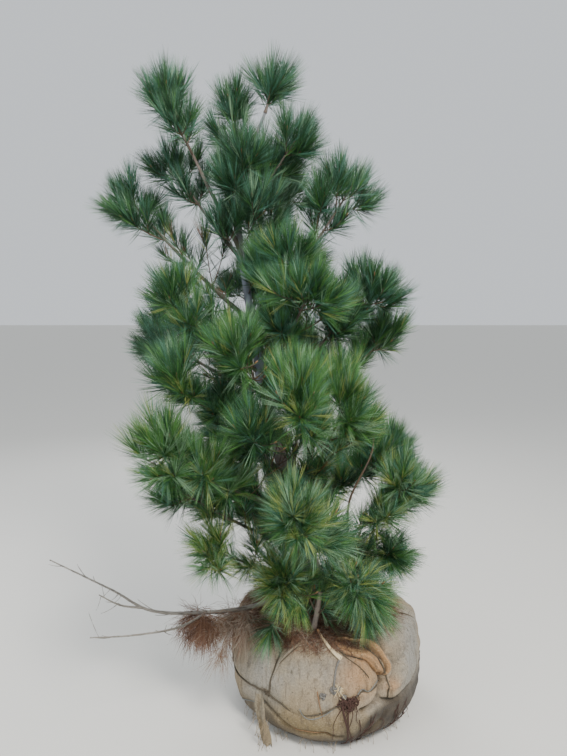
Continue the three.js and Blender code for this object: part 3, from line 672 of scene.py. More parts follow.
class Tree:
    """The limbs, and the shoots that grow from them by the seeded rule."""

    def __init__(self):
        self.limbs = []
        for name, height, *shape in LIMBS:
            self.add_limb(name, trunk_at(height * MM), shape)
        end = spline(TRUNK_LINE, 1.0)
        ahead = unit(end - spline(TRUNK_LINE, 1 - SHARE_STEP))
        name, *shape = LEADER
        leader = self.add_limb(name, end + ahead * CLEARANCE, shape, ahead, TRUNK_TIP_RADIUS)
        name, *shape = LOW_SHOOT
        self.add_limb(name, LOW_SHOOT_FOOT, shape, None, LOW_SHOOT_RADIUS)
        self.limb_lines = Lines([limb.path.at(np.linspace(0, 1, 13)) for limb in self.limbs])
        self.root_radii = np.array([limb.root_radius for limb in self.limbs])
        self.trunk = Lines([trunk_line()])
        self.dead = Lines(dead_lines())
        self.shoots = []
        for limb in self.limbs:
            self.grow_shoots(limb)
        self.grow_spurs(leader)

    def add_limb(self, name, start, shape, ahead=None, root_radius=None):
        limb = Limb(name, len(self.limbs), start, shape, ahead, root_radius)
        self.limbs.append(limb)
        return limb

    def in_open_air(self, points, margin):
        """Whether points are clear of the trunk, the dead wood, the ball and the ground."""
        clear = self.trunk.distances(points)[:, 0] >= trunk_radius_at(points[:, 2]) + margin
        clear &= (self.dead.distances(points) >= DEAD_BOUGH_RADII[0] + margin).all(1)
        out = np.hypot(points[:, 0], points[:, 1])
        dome = CREST_HEIGHT + DOME_LIFT - DOME_FALL * (out / SHOULDER_RADIUS) ** DOME_CURVE
        beyond = out > BELLY_RADIUS + BALL_RIM + margin
        return clear & (points[:, 2] > np.where(beyond, margin, dome + margin))

    def in_own_space(self, limb, points, margin):
        """Whether points are nearer to this limb than to any other."""
        points = np.atleast_2d(points)
        away = self.limb_lines.distances(points)
        own = away[:, limb.index].copy()
        away[:, limb.index] = np.inf
        clear = (away > own[:, None] + 2 * margin) & (away > self.root_radii + margin + SPACING)
        return clear.all(1) & self.in_open_air(points, margin + SPACING)

    def grow_shoots(self, limb):
        """A stem with side shoots in pairs, then finer shoots in the room they leave."""
        draw = seeded_numbers(SHOOT_SEED + SHOOT_SEED_STEP * limb.index)

        def swing(most):
            return most * (2 * next(draw) - 1)

        stem = limb.path.rest(limb.bare)
        grown = [(stem, limb.radius_at(limb.bare), STEM_VIGOUR)]
        first = max(limb.bare + AFTER_BOUGH, limb.first_share)
        run = LAST_SHARE - first
        stations = max(1, round(run * limb.length / STATION_EVERY))
        longest = min(max(REACH_SHARE * limb.length, LEAST_REACH), MOST_REACH)
        for station in range(stations):
            along = first + run * (station + 0.5) / stations
            for side in (-1, 1):
                fork = FORK + swing(FORK_SWING)
                roll = TURN * station + swing(ROLL)
                vigour = LEAST_VIGOUR + VIGOUR_SWING * next(draw)
                reach = longest * (1 - NARROWING * along) * vigour
                way = shoot_direction(limb.path, along, side, fork, roll)
                path = self.side_shoot(limb, limb.path.at(along), way, reach, TRIES)
                if path:
                    grown.append((path, SHOOT_RADIUS, SIDE_VIGOUR))
        self.shoots += [(limb, *shoot) for shoot in grown]
        self.shoots += [(limb, *shoot) for shoot in self.finer_shoots(limb, grown)]

    def grow_spurs(self, leader):
        """Short spurs straight from the trunk, with finer shoots of their own."""
        draw = seeded_numbers(SHOOT_SEED)
        spurs = []
        low, high = SPUR_HEIGHTS
        for number in range(int((high - low) / SPUR_EVERY)):
            root = trunk_at(low + SPUR_EVERY * (number + next(draw) / 2))
            heading = SPUR_HEADINGS[number % len(SPUR_HEADINGS)]
            way = towards(heading + 2 * SPUR_SWING * next(draw) - SPUR_SWING)
            reach = lerp(*SPUR_REACH, next(draw))
            control = root + (way + UP * SPUR_CLIMB / SPUR_DELAY) * reach * BEND
            path = Bow(root, control, root + (way + UP * SPUR_CLIMB) * reach)
            if self.in_open_air(path.at(PROBES), FINER_MARGIN).all():
                spurs.append((path, FINER_RADIUS, SIDE_VIGOUR))
        self.shoots += [(leader, *spur) for spur in spurs]
        self.shoots += [(leader, *shoot) for shoot in self.finer_shoots(leader, spurs)]

    def side_shoot(self, limb, root, way, reach, tries):
        """A shoot shortened until it stays in its own space, or None."""
        for part in tries:
            length = reach * part
            tip = root + way * length + UP * LIFT * length
            path = Bow(root, root + way * length * BEND, tip)
            beyond = tip + path.ahead(1.0) * NEEDLE_ROOM
            probes = np.vstack([path.at(PROBES), beyond])
            if self.in_own_space(limb, probes, CORE_RADIUS + MM).all():
                return path
        return None

    def finer_shoots(self, limb, grown):
        """Short shoots that turn up to the light: whorls at the tips, and more along the way."""
        draw = seeded_numbers(FINER_SEED + FINER_SEED_STEP * limb.index)

        def between(low, high):
            return lerp(low, high, next(draw))

        tips = [shoot[0].tip for shoot in grown]
        finer = []

        def sprout(path, along, fork, roll, reach, vigour):
            way = shoot_direction(path, along, 1, fork, roll)
            root = path.at(along)
            for part in FINER_TRIES:
                length = reach * part
                tip = root + way * length + UP * FINER_LIFT * length
                if (tip - path.tip) @ path.ahead(1.0) > 0:
                    continue
                shoot = Bow(root, root + way * length * BEND, tip)
                clear = self.in_open_air(shoot.at(PROBES), FINER_MARGIN).all()
                if clear and np.linalg.norm(np.array(tips) - tip, axis=1).min() > TUFT_APART:
                    tips.append(tip)
                    finer.append((shoot, FINER_RADIUS, vigour))
                    return

        habit = "open" if limb.path.start[2] > OPEN_HEIGHT else "full"
        for number, (path, _, _) in enumerate(grown):
            length = path.length()
            whorl = WHORL_ARMS[habit][min(number, 1)] + limb.habit.arms
            node = max(1 - WHORL_BACK / length, limb.habit.node)
            turn = 360 * next(draw)
            for arm in range(whorl):
                roll = turn + 360 * arm / whorl
                reach = between(*WHORL_REACH) * limb.habit.long
                sprout(path, node, between(*WHORL_FORK), roll, reach, WHORL_VIGOUR)
            count = round(length / FINER_EVERY[habit] * limb.habit.density)
            for i in range(count):
                along = between(*FINER_SPAN) / count + i / count
                fork, roll = between(*FINER_FORK), between(0, 360)
                sprout(path, along, fork, roll, between(*FINER_REACH), FINER_VIGOUR)
        if limb.bare and limb.path.start[2] < INNER_HEIGHT:
            count = round(limb.bare * limb.length / INNER_EVERY)
            for i in range(count):
                along = limb.bare * (INNER_FIRST + (1 - INNER_FIRST) * (i + next(draw)) / count)
                fork, roll = between(*INNER_FORK), between(0, 360)
                sprout(limb.path, along, fork, roll, between(*INNER_REACH), INNER_VIGOUR)
        return finer


def shoot_direction(path, along, side, fork, roll):
    """Forked off the stem to one side, and rolled round it."""
    ahead = path.ahead(along)
    level = unit(np.cross(ahead, guide_for(ahead)))
    above = np.cross(level, ahead)
    fork, roll = math.radians(fork), math.radians(roll)
    aside = level * math.cos(roll) + above * math.sin(roll)
    return ahead * math.cos(fork) + aside * side * math.sin(fork)


@lru_cache(maxsize=1)
def tree():
    return Tree()


@lru_cache(maxsize=1)
def gaps():
    """Middle lines of the gaps that needles keep out of."""
    rows = [(LOW_SHOOT_FOOT + UP * rise, unit(LOW_GAP_WAY)) for rise in GAP_RISES]
    rows += [(trunk_at(height), towards(FRONT) + UP * climb) for height, climb in TRUNK_GAPS]
    return Lines([[foot, foot + way * GAP_DEPTH] for foot, way in rows])


# Meshes


def new_piece(name, points, faces, smooth=True):
    """A mesh piece from arrays of corners and faces."""
    mesh = bpy.data.meshes.new(name)
    mesh.from_pydata(np.asarray(points).tolist(), [], faces if isinstance(faces, list) else faces.tolist())
    mesh.polygons.foreach_set("use_smooth", [smooth] * len(mesh.polygons))
    mesh.update()
    piece = bpy.data.objects.new(name, mesh)
    bpy.context.scene.collection.objects.link(piece)
    return piece


def pick(piece):
    """Selects one piece and nothing else."""
    bpy.ops.object.select_all(action="DESELECT")
    piece.select_set(True)
    bpy.context.view_layer.objects.active = piece


def face_out():
    """Turns the faces of the active piece outwards and shades them smooth."""
    bpy.ops.object.mode_set(mode="EDIT")
    bpy.ops.mesh.select_all(action="SELECT")
    bpy.ops.mesh.normals_make_consistent(inside=False)
    bpy.ops.object.mode_set(mode="OBJECT")
    bpy.ops.object.shade_smooth()


def paint(mesh, stains, threads):
    """Gives a cloth's corners their stains, and its faces the map of its threads."""
    for name, values in stains.items():
        mesh.attributes.new(name, "FLOAT", "POINT").data.foreach_set("value", values)
    layer = mesh.uv_layers.active
    layer.name = "threads"
    corners = np.zeros(len(mesh.loops), int)
    mesh.loops.foreach_get("vertex_index", corners)
    layer.data.foreach_set("uv", threads[corners].ravel())


def finish_piece(piece, slot_name, finish, *nodes):
    """Gives a piece its finish, its body and the solids that it stands for."""
    piece.data.materials.clear()
    piece.data.materials.append(finish)
    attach(piece, "root")
    if nodes:
        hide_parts(*nodes)


def frames_along(points):
    """Directions across and beside at each point of a line, without twisting."""
    ahead = unit(np.gradient(points, axis=0))
    across = np.cross(ahead[0], guide_for(ahead[0]))
    rows = []
    for way in ahead:
        across = unit(across - way * (across @ way))
        rows.append(across)
    across = np.array(rows)
    return across, np.cross(across, ahead)


class Tubes:
    """Round closed tubes gathered into one mesh."""

    def __init__(self):
        self.points, self.faces, self.count = [], [], 0

    def add(self, line, radii, sides, lobes=0, twist=0.0, lobe_depth=0.22):
        """One tube along a line. Lobes that twist along it make it a laid rope."""
        line = np.asarray(line, float)
        rings = len(line)
        across, beside = frames_along(line)
        turn = np.linspace(0, 2 * np.pi, sides, endpoint=False)
        swell = 1.0
        if lobes:
            swell = 1 + lobe_depth * np.cos(lobes * (turn - twist * run_along(line)[:, None]))
        radii = np.broadcast_to(np.asarray(radii, float), (rings,))[:, None] * swell
        out = across[:, None] * np.cos(turn)[:, None] + beside[:, None] * np.sin(turn)[:, None]
        corners = line[:, None] + out * np.broadcast_to(radii, (rings, sides))[..., None]
        self.points.append(corners.reshape(-1, 3))
        index = self.count + np.arange(rings * sides).reshape(rings, sides)
        low, high = index[:-1], index[1:]
        quads = np.stack([low, high, np.roll(high, -1, 1), np.roll(low, -1, 1)], -1)
        self.faces += quads.reshape(-1, 4).tolist()
        self.faces += [index[0].tolist(), index[-1][::-1].tolist()]
        self.count += rings * sides

    def make(self, name):
        return new_piece(name, np.vstack(self.points), self.faces)


def needle_mesh(bases, ways, lengths, radius, bows, drops, bent, rng):
    """Corners and triangles of needles: straight ones of four faces, bent ones of six."""
    count = len(bases)
    side = unit(np.cross(ways, unit(rng.normal(size=(count, 3)))))
    third = np.cross(ways, side)
    turns = np.radians([0, 120, 240])
    ring = side[:, None] * np.cos(turns)[:, None] + third[:, None] * np.sin(turns)[:, None]
    tips = bases + ways * lengths[:, None] - UP * drops[:, None]
    straight, curved = ~bent, bent
    first = np.concatenate([bases[straight][:, None] + ring[straight] * radius, tips[straight][:, None]], 1)
    middle = (bases + ways * lengths[:, None] * 0.5 + bows)[curved][:, None]
    second = np.concatenate(
        [bases[curved][:, None], middle + ring[curved] * radius, tips[curved][:, None]], 1
    )
    small = np.array([(0, 2, 1), (0, 1, 3), (1, 2, 3), (2, 0, 3)])
    large = np.array([(2, 1, 0), (3, 2, 0), (1, 3, 0), (1, 2, 4), (2, 3, 4), (3, 1, 4)])
    points = np.vstack([first.reshape(-1, 3), second.reshape(-1, 3)])
    faces = np.vstack(
        [
            (np.arange(len(first))[:, None, None] * 4 + small).reshape(-1, 3),
            (len(first) * 4 + np.arange(len(second))[:, None, None] * 5 + large).reshape(-1, 3),
        ]
    )
    return points, faces


# Finishes


class Value:
    """A socket that adds and multiplies like a number."""

    def __init__(self, finish, socket):
        self.finish, self.socket = finish, socket

    def math(self, operation, other):
        return self.finish.node("ShaderNodeMath", {"operation": operation}, {0: self, 1: other})

    def __add__(self, other):
        return self.math("ADD", other)

    def __mul__(self, other):
        return self.math("MULTIPLY", other)

    __radd__ = __add__
    __rmul__ = __mul__


class Finish:
    """A material with the nodes of one surface."""

    def __init__(self, name, roughness, **plain):
        self.material = bpy.data.materials.new(name)
        self.material.use_nodes = True
        self.tree = self.material.node_tree
        self.surface = next(n for n in self.tree.nodes if n.type == "BSDF_PRINCIPLED")
        self.set("Roughness", roughness)
        for socket, value in plain.items():
            self.set(socket.replace("_", " "), value)

    def put(self, socket, value):
        if isinstance(value, Value):
            self.tree.links.new(value.socket, socket)
        elif socket.type == "RGBA":
            socket.default_value = (*value, 1)
        else:
            socket.default_value = value

    def set(self, name, value):
        self.put(self.surface.inputs[name], value)

    def node(self, kind, settings, values, out=0):
        """A node with its settings, then its sockets, as the value of one of its outputs."""
        made = self.tree.nodes.new(kind)
        for name, value in settings.items():
            if name == "stops":
                for element, (place, level) in zip(made.color_ramp.elements, value):
                    element.position = place
                    element.color = (level, level, level, 1)
            else:
                setattr(made, name, value)
        for name, value in values.items():
            self.put(made.inputs[name], value)
        return Value(self, made.outputs[out])

    def clouds(self, scale, detail=4, stretch=(1, 1, 1), roughness=0.55):
        """Noise on the object's coordinates, stretched."""
        place = self.node("ShaderNodeTexCoord", {}, {}, "Object")
        place = self.node("ShaderNodeMapping", {}, {"Vector": place, "Scale": stretch})
        values = {"Vector": place, "Scale": scale, "Detail": detail, "Roughness": roughness}
        return self.node("ShaderNodeTexNoise", {}, values)

    def ramp(self, value, low, high):
        """A value sent between two stops, each with its place and level."""
        return self.node("ShaderNodeValToRGB", {"stops": (low, high)}, {"Fac": value})

    def stain(self, name):
        return self.node("ShaderNodeAttribute", {"attribute_name": name}, {}, "Fac")

    def colour(self, base, *layers):
        """The base colour, under layers that each give their share and their tint."""
        for share, tint in layers:
            values = {0: share, 6: base, 7: tint}
            base = self.node("ShaderNodeMix", {"data_type": "RGBA"}, values, 2)
        self.set("Base Color", base)

    def bump(self, height, distance):
        self.set("Normal", self.node("ShaderNodeBump", {}, {"Height": height, "Distance": distance}))


def settings():
    scene = bpy.context.scene
    return scene.balled_pine_needles, scene.balled_pine_bark, scene.balled_pine_burlap


def plain_finish(name, base, roughness, **plain):
    finish = Finish(name, roughness, **plain)
    finish.colour(base)
    return finish.material


def trunk_finish():
    """Smooth bark with brown patches, dark streaks and pale bands."""
    _, bark, _ = settings()
    finish = Finish("trunk bark", 0.72)
    patches = finish.clouds(9, 5, (1, 1, 0.45))
    streaks = finish.clouds(70, 5, (1, 1, 0.16))
    bands = finish.clouds(60, 3, (0.22, 0.22, 1))
    finish.colour(
        bark.trunk,
        (finish.ramp(patches, (0.42, 0), (0.66, 1)), bark.trunk_brown),
        (finish.ramp(streaks, (0.5, 0), (0.75, 0.55)), hex_colour(0x3B3833)),
        (finish.ramp(bands, (0.6, 0), (0.72, 0.5)), hex_colour(0x8E8B86)),
    )
    finish.set("Roughness", 0.62 + 0.25 * streaks)
    finish.bump(streaks * 0.7 + bands * 0.3, 1.6 * MM)
    return finish.material


def bough_finish(name, base, weathered, scale_rate=264):
    """Scaly bark with weathered patches."""
    finish = Finish(name, 0.78)
    patches = finish.clouds(22)
    scales = finish.clouds(scale_rate, 3)
    finish.colour(
        base,
        (finish.ramp(patches, (0.42, 0), (0.64, 1)), weathered),
        (finish.ramp(scales, (0.55, 0), (0.75, 0.7)), hex_colour(0x2F261F)),
    )
    finish.bump(scales, 1.0 * MM)
    return finish.material


def dead_wood_finish():
    """Bare grey wood with a dark grain along it."""
    _, bark, _ = settings()
    finish = Finish("dead wood", 0.86)
    grain = finish.clouds(160, 5, (0.12, 1, 1))
    finish.colour(
        bark.dead,
        (finish.ramp(finish.clouds(14), (0.4, 0), (0.7, 1)), hex_colour(0x9A958C)),
        (finish.ramp(grain, (0.5, 0), (0.7, 0.8)), hex_colour(0x3F3A35)),
    )
    finish.bump(grain, 0.8 * MM)
    return finish.material


def fibre_finish(name, base, dark, roughness=0.85):
    """Twine, rope and other fibres with grime between them."""
    finish = Finish(name, roughness)
    fibres = finish.clouds(420, 3)
    finish.colour(
        base,
        (finish.ramp(fibres, (0.4, 0), (0.7, 0.8)), dark),
        (finish.ramp(finish.clouds(30, 3), (0.5, 0), (0.7, 0.5)), dark),
    )
    finish.bump(fibres, 0.5 * MM)
    return finish.material


# A wave texture of this scale repeats once in a metre
ONE_WAVE = 0.314


def burlap_finish(name):
    """Woven burlap with its weathering, its warm, cool and ochre parts, its earth, and painted shade low on
    the ball, in its folds, in the flap's fold and under the right lobe.
    """
    _, _, burlap = settings()
    finish = Finish(name, 0.93, Sheen_Weight=0.06, Sheen_Roughness=0.6)
    threads = {
        "Vector": finish.node("ShaderNodeUVMap", {"uv_map": "threads"}, {}),
        "Scale": ONE_WAVE / burlap.weave,
        "Distortion": 1.4,
        "Detail": 2,
        "Detail Scale": 1.5,
    }
    across, along = (
        finish.node("ShaderNodeTexWave", {"bands_direction": way, "wave_profile": "SIN"}, threads, 1)
        for way in "XY"
    )
    weave = across.math("MAXIMUM", along)
    uneven = finish.clouds(14, 3)
    streaks = finish.clouds(75, 5, (1, 1, 0.14), 0.7)
    grain = finish.clouds(190, 5, roughness=0.75)
    finish.colour(
        burlap.tan,
        (finish.ramp(finish.clouds(5.5, 5), (0.45, 0), (0.62, 0.6)), burlap.grey),
        (finish.ramp(uneven, (0.5, 0), (0.75, 0.35)), burlap.ochre),
        (finish.stain("cool") * 0.7, burlap.grey),
        (finish.stain("warm") * 0.8, burlap.warm),
        (finish.stain("ochre") * 0.75, burlap.ochre),
        (finish.ramp(streaks, (0.48, 0), (0.7, 0.75)), hex_colour(0x5A4A38)),
        (finish.ramp(grain, (0.5, 0), (0.7, 0.6)), hex_colour(0x574836)),
        (finish.ramp(grain, (0.3, 0.5), (0.48, 0)), hex_colour(0xD2C2A4)),
        (finish.ramp(finish.clouds(75), (0.64, 0), (0.7, 0.6)), burlap.soil),
        # Earth, and painted shade low on the ball, in the folds, in the flap and under the right lobe
        (finish.stain("soil") * finish.ramp(uneven, (0.3, 0.7), (0.62, 0.98)), burlap.soil),
        (finish.ramp(weave, (0.2, 0.4), (0.75, 0)), hex_colour(0x6B5A44)),
    )
    finish.bump(weave * 0.75 + finish.clouds(300, 3) * 0.35 + grain * 0.5, 1.3 * MM)
    return finish.material


# The stage and the steps that build the tree


class Builder(bpy.types.Operator):
    """Common base of the steps that build the tree"""

    bl_options = {"REGISTER", "UNDO"}

    def execute(self, context):
        self.build(context)
        return {"FINISHED"}


FLOOR_SIZE = 600
CLIP_END = 1000
LIGHTS_AIM = Vector((-0.2, 0, 1.1))
# Lights: name, place, size, power and tint
LIGHTS = (
    ("key", (1.3, -3.2, 4.6), 1.2, 330, (1.0, 0.97, 0.92)),
    ("fill", (-3.4, -2.2, 2.8), 2.6, 62, (0.88, 0.94, 1.0)),
    ("rim", (-1.4, 3.4, 3.6), 2.4, 90, (0.95, 0.97, 1.0)),
)


class PINE_OT_stage(Builder):
    """Lay the floor, the soft lights and the camera"""

    bl_idname = "pine.stage"
    bl_label = "Stage"

    def build(self, context):
        stage = context.scene.balled_pine_stage
        bpy.ops.object.select_all(action="DESELECT")
        bpy.ops.mesh.primitive_plane_add(size=FLOOR_SIZE, location=(0, 0, 0))
        floor = context.object
        floor.name = "floor"
        floor.data.materials.append(plain_finish("floor", stage.floor, 0.9))
        world = bpy.data.worlds.new("soft light")
        world.use_nodes = True
        world.node_tree.nodes["Background"].inputs["Color"].default_value = (*stage.sky, 1)
        world.node_tree.nodes["Background"].inputs["Strength"].default_value = 1.0
        context.scene.world = world
        for name, place, width, power, tint in LIGHTS:
            light = bpy.data.lights.new(name, "AREA")
            light.size, light.energy, light.color = width, power, tint
            lamp = bpy.data.objects.new(name, light)
            context.scene.collection.objects.link(lamp)
            lamp.location = place
            aim = LIGHTS_AIM - Vector(place)
            lamp.rotation_euler = aim.to_track_quat("-Z", "Y").to_euler()
        camera = bpy.data.objects.new("camera", bpy.data.cameras.new("camera"))
        context.scene.collection.objects.link(camera)
        camera.data.lens = stage.lens
        camera.data.clip_end = CLIP_END
        camera.location = stage.camera_place
        camera.rotation_euler = (math.pi / 2 - stage.camera_tilt, 0, 0)
        context.scene.camera = camera


def wooden_curve(name, lines, roundness):
    """Round limbs along lines of points with radii, as one mesh."""
    curve = bpy.data.curves.new(name, "CURVE")
    curve.dimensions = "3D"
    curve.bevel_depth = 1.0
    curve.bevel_resolution = roundness
    curve.use_fill_caps = True
    for points, radii in lines:
        run = curve.splines.new("POLY")
        run.points.add(len(points) - 1)
        for corner, place, radius in zip(run.points, points, radii):
            corner.co = (*place, 1)
            corner.radius = radius
    piece = bpy.data.objects.new(name, curve)
    bpy.context.scene.collection.objects.link(piece)
    pick(piece)
    bpy.ops.object.convert(target="MESH")
    piece = bpy.context.object
    piece.data.name = name
    face_out()
    return piece


def taper(radii, count):
    """Radii that go evenly from the root's to the tip's."""
    return lerp(*radii, np.linspace(0, 1, count))


def roughen(piece, relief):
    """Moves each corner along its normal by the bark's relief there."""
    mesh = piece.data
    corners = [vertex.co.copy() for vertex in mesh.vertices]
    normals = [vertex.normal.copy() for vertex in mesh.vertices]
    for vertex, corner, normal in zip(mesh.vertices, corners, normals):
        vertex.co = corner + normal * relief(corner)
    mesh.update()


TRUNK_RINGS, RING_CROWDING, TRUNK_ROUNDNESS = 330, 1.05, 8
# Reliefs of the bark: how fast each changes, and its depth or its share of the girth
HEAVE_RATE, HEAVE_SHARE = 14, 0.06
CRACK_RATES, CRACK_DEPTH = (130, 130, 16), 1.1 * MM
BAND_RATES, BAND_DEPTH = (18, 18, 150), 0.5 * MM
# The trunk swells at each limb, and most on the limb's side
COLLAR_REACH, COLLAR_RISE, COLLAR_SPREAD = 70 * MM, 6 * MM, 2.4
COLLAR_GIRTH, COLLAR_SIDE, MOST_COLLAR = 0.18, 0.25, 0.5
# Ridges at the trunk's foot, where its roots start
RIDGE_HEIGHT, RIDGE_DEPTH, RIDGES, RIDGE_TURN, LEAST_RIDGE = 60 * MM, 7 * MM, 5, 0.7, -0.4


@lru_cache(maxsize=1)
def collars():
    """Starts, directions and girths of the limbs that leave the trunk."""
    return [(limb.path.start, limb.path.ahead(0.0), limb.root_radius) for limb in tree().limbs[:-2]]


def trunk_relief(place):
    """How far the trunk's bark stands out at a place."""
    girth = float(trunk_radius_at(place.z))
    bark = noise.noise(place * HEAVE_RATE) * HEAVE_SHARE * girth
    bark += ripple(place, *BAND_RATES) * BAND_DEPTH - abs(ripple(place, *CRACK_RATES)) * CRACK_DEPTH
    swell = 0.0
    for start, ahead, radius in collars():
        off = np.array(place) - start
        if abs(off[2]) < COLLAR_REACH:
            outward = unit(np.array([off[0], off[1], 1e-6]))
            facing = max(float(outward @ unit(ahead * (1, 1, 0))), 0)
            near = math.exp(-((off[2] - COLLAR_RISE) / (COLLAR_SPREAD * radius + COLLAR_RISE)) ** 2)
            swell += near * (COLLAR_GIRTH * girth + COLLAR_SIDE * radius * facing**2)
    turn = math.atan2(place.y, place.x - TRUNK_LINE[0][0])
    ridges = RIDGE_DEPTH * max(math.cos(RIDGES * turn + RIDGE_TURN), LEAST_RIDGE)
    ridges *= math.exp(-(place.z - TRUNK_LINE[0][2]) / RIDGE_HEIGHT)
    return bark + min(swell, MOST_COLLAR * girth) + ridges


class PINE_OT_trunk(Builder):
    """Grow the trunk with its flare, branch collars and bark"""

    bl_idname = "pine.trunk"
    bl_label = "Trunk"

    def build(self, context):
        line = spline(TRUNK_LINE, np.linspace(0, 1, TRUNK_RINGS) ** RING_CROWDING)
        piece = wooden_curve("trunk", [(line, trunk_radius_at(line[:, 2]))], TRUNK_ROUNDNESS)
        roughen(piece, trunk_relief)
        finish_piece(piece, "trunk_bark", trunk_finish(), "trunk")


BOUGH_STEP, BOUGH_ROUNDNESS = 9 * MM, 3
ROOT_SWELL, ROOT_FADE = 0.5, 14 * MM
KNOT_SWELL, KNOT_EVERY, KNOT_SHARPNESS = 0.1, 19 * MM, 8
# The low shoot's stem: rings, how far it starts inside the ball, roundness, tip and node
LOW_STEM_RINGS, LOW_STEM_SINK, LOW_STEM_ROUNDNESS = 34, -0.12, 5
LOW_STEM_TIP, LOW_STEM_NODE, NODE_SWELL = 8 * MM, slice(20, 23), 1.25


class PINE_OT_boughs(Builder):
    """Grow the boughs and stems, each one tapering limb with rough bark"""

    bl_idname = "pine.boughs"
    bl_label = "Boughs"

    def build(self, context):
        _, bark, _ = settings()
        limbs = tree().limbs
        piece = wooden_curve("boughs", [self.tapered(limb) for limb in limbs[:-1]], BOUGH_ROUNDNESS)
        roughen(piece, lambda at: noise.noise(at * 60) * 0.8 * MM + noise.noise(at * 300) * 0.45 * MM)
        names = [f"bough_{limb.name}" for limb in limbs if limb.bare > 0]
        finish_piece(piece, "bough_bark", bough_finish("bough bark", bark.bough, bark.bough_grey), *names)

        line = limbs[-1].path.at(np.linspace(LOW_STEM_SINK, 1, LOW_STEM_RINGS))
        radii = taper((LOW_SHOOT_RADIUS, LOW_STEM_TIP), LOW_STEM_RINGS)
        radii[LOW_STEM_NODE] *= NODE_SWELL
        stem = wooden_curve("low_shoot_stem", [(line, radii)], LOW_STEM_ROUNDNESS)
        roughen(stem, lambda at: noise.noise(at * 80) * 1.2 * MM)
        finish = bough_finish("low stem bark", bark.low_stem, bark.bough_grey, 198)
        finish_piece(stem, "bough_bark", finish, "needles_low_shoot")

    def tapered(self, limb):
        """A limb's line and radii, thicker at its root and at its knots."""
        shares = np.linspace(0, 1, int(limb.length / BOUGH_STEP))
        away = shares * limb.length
        free = np.maximum(away - trunk_radius_at(limb.path.start[2]), 0)
        knots = KNOT_SWELL * np.sin(away / KNOT_EVERY + limb.index) ** KNOT_SHARPNESS
        swell = 1 + ROOT_SWELL * np.exp(-free / ROOT_FADE) + knots
        return limb.path.at(shares), limb.radius_at(shares) * swell


TWIG_STEP, TWIG_TIP = 30 * MM, 1.7 * MM
# A bud: stops before and past the shoot's tip, and its radius at each
BUD_STOPS = MM * np.array([-3, 3, 9, 15])
BUD_RADII = MM * np.array([1.6, 3.1, 2.4, 0.3])
# Radii of the hanging shoot and the bare one, from root to tip
HANGING_RADII = (2.6 * MM, 1.6 * MM)
BARE_RADII = (5 * MM, 2.4 * MM)


def mass_names():
    return [f"needles_{limb.name}" for limb in tree().limbs]


class PINE_OT_twigs(Builder):
    """Grow the side shoots and the buds at their tips"""

    bl_idname = "pine.twigs"
    bl_label = "Twigs"

    def build(self, context):
        _, bark, _ = settings()
        twigs, buds = Tubes(), Tubes()
        for _, path, radius, _ in tree().shoots:
            count = max(4, int(path.length() / TWIG_STEP))
            if radius in (SHOOT_RADIUS, FINER_RADIUS):
                twigs.add(path.at(np.linspace(0, 1, count)), taper((radius, TWIG_TIP), count), 5)
            buds.add(path.tip + path.ahead(1.0) * BUD_STOPS[:, None], BUD_RADII, 5)
        twigs.add(Bow(*HANGING_SHOOT).at(np.linspace(0, 1, 12)), taper(HANGING_RADII, 12), 6)
        host, share, points = BARE_SHOOT
        root = next(limb for limb in tree().limbs if limb.name == host).path.at(share)
        twigs.add(even_line(np.vstack([root, points]), 26), taper(BARE_RADII, 26), 7)
        finish = bough_finish("twig bark", bark.twig, bark.bough, 572)
        finish_piece(twigs.make("twigs"), "bough_bark", finish, *mass_names())
        finish = plain_finish("bud scales", bark.bud, 0.6)
        finish_piece(buds.make("buds"), "bough_bark", finish, *mass_names())


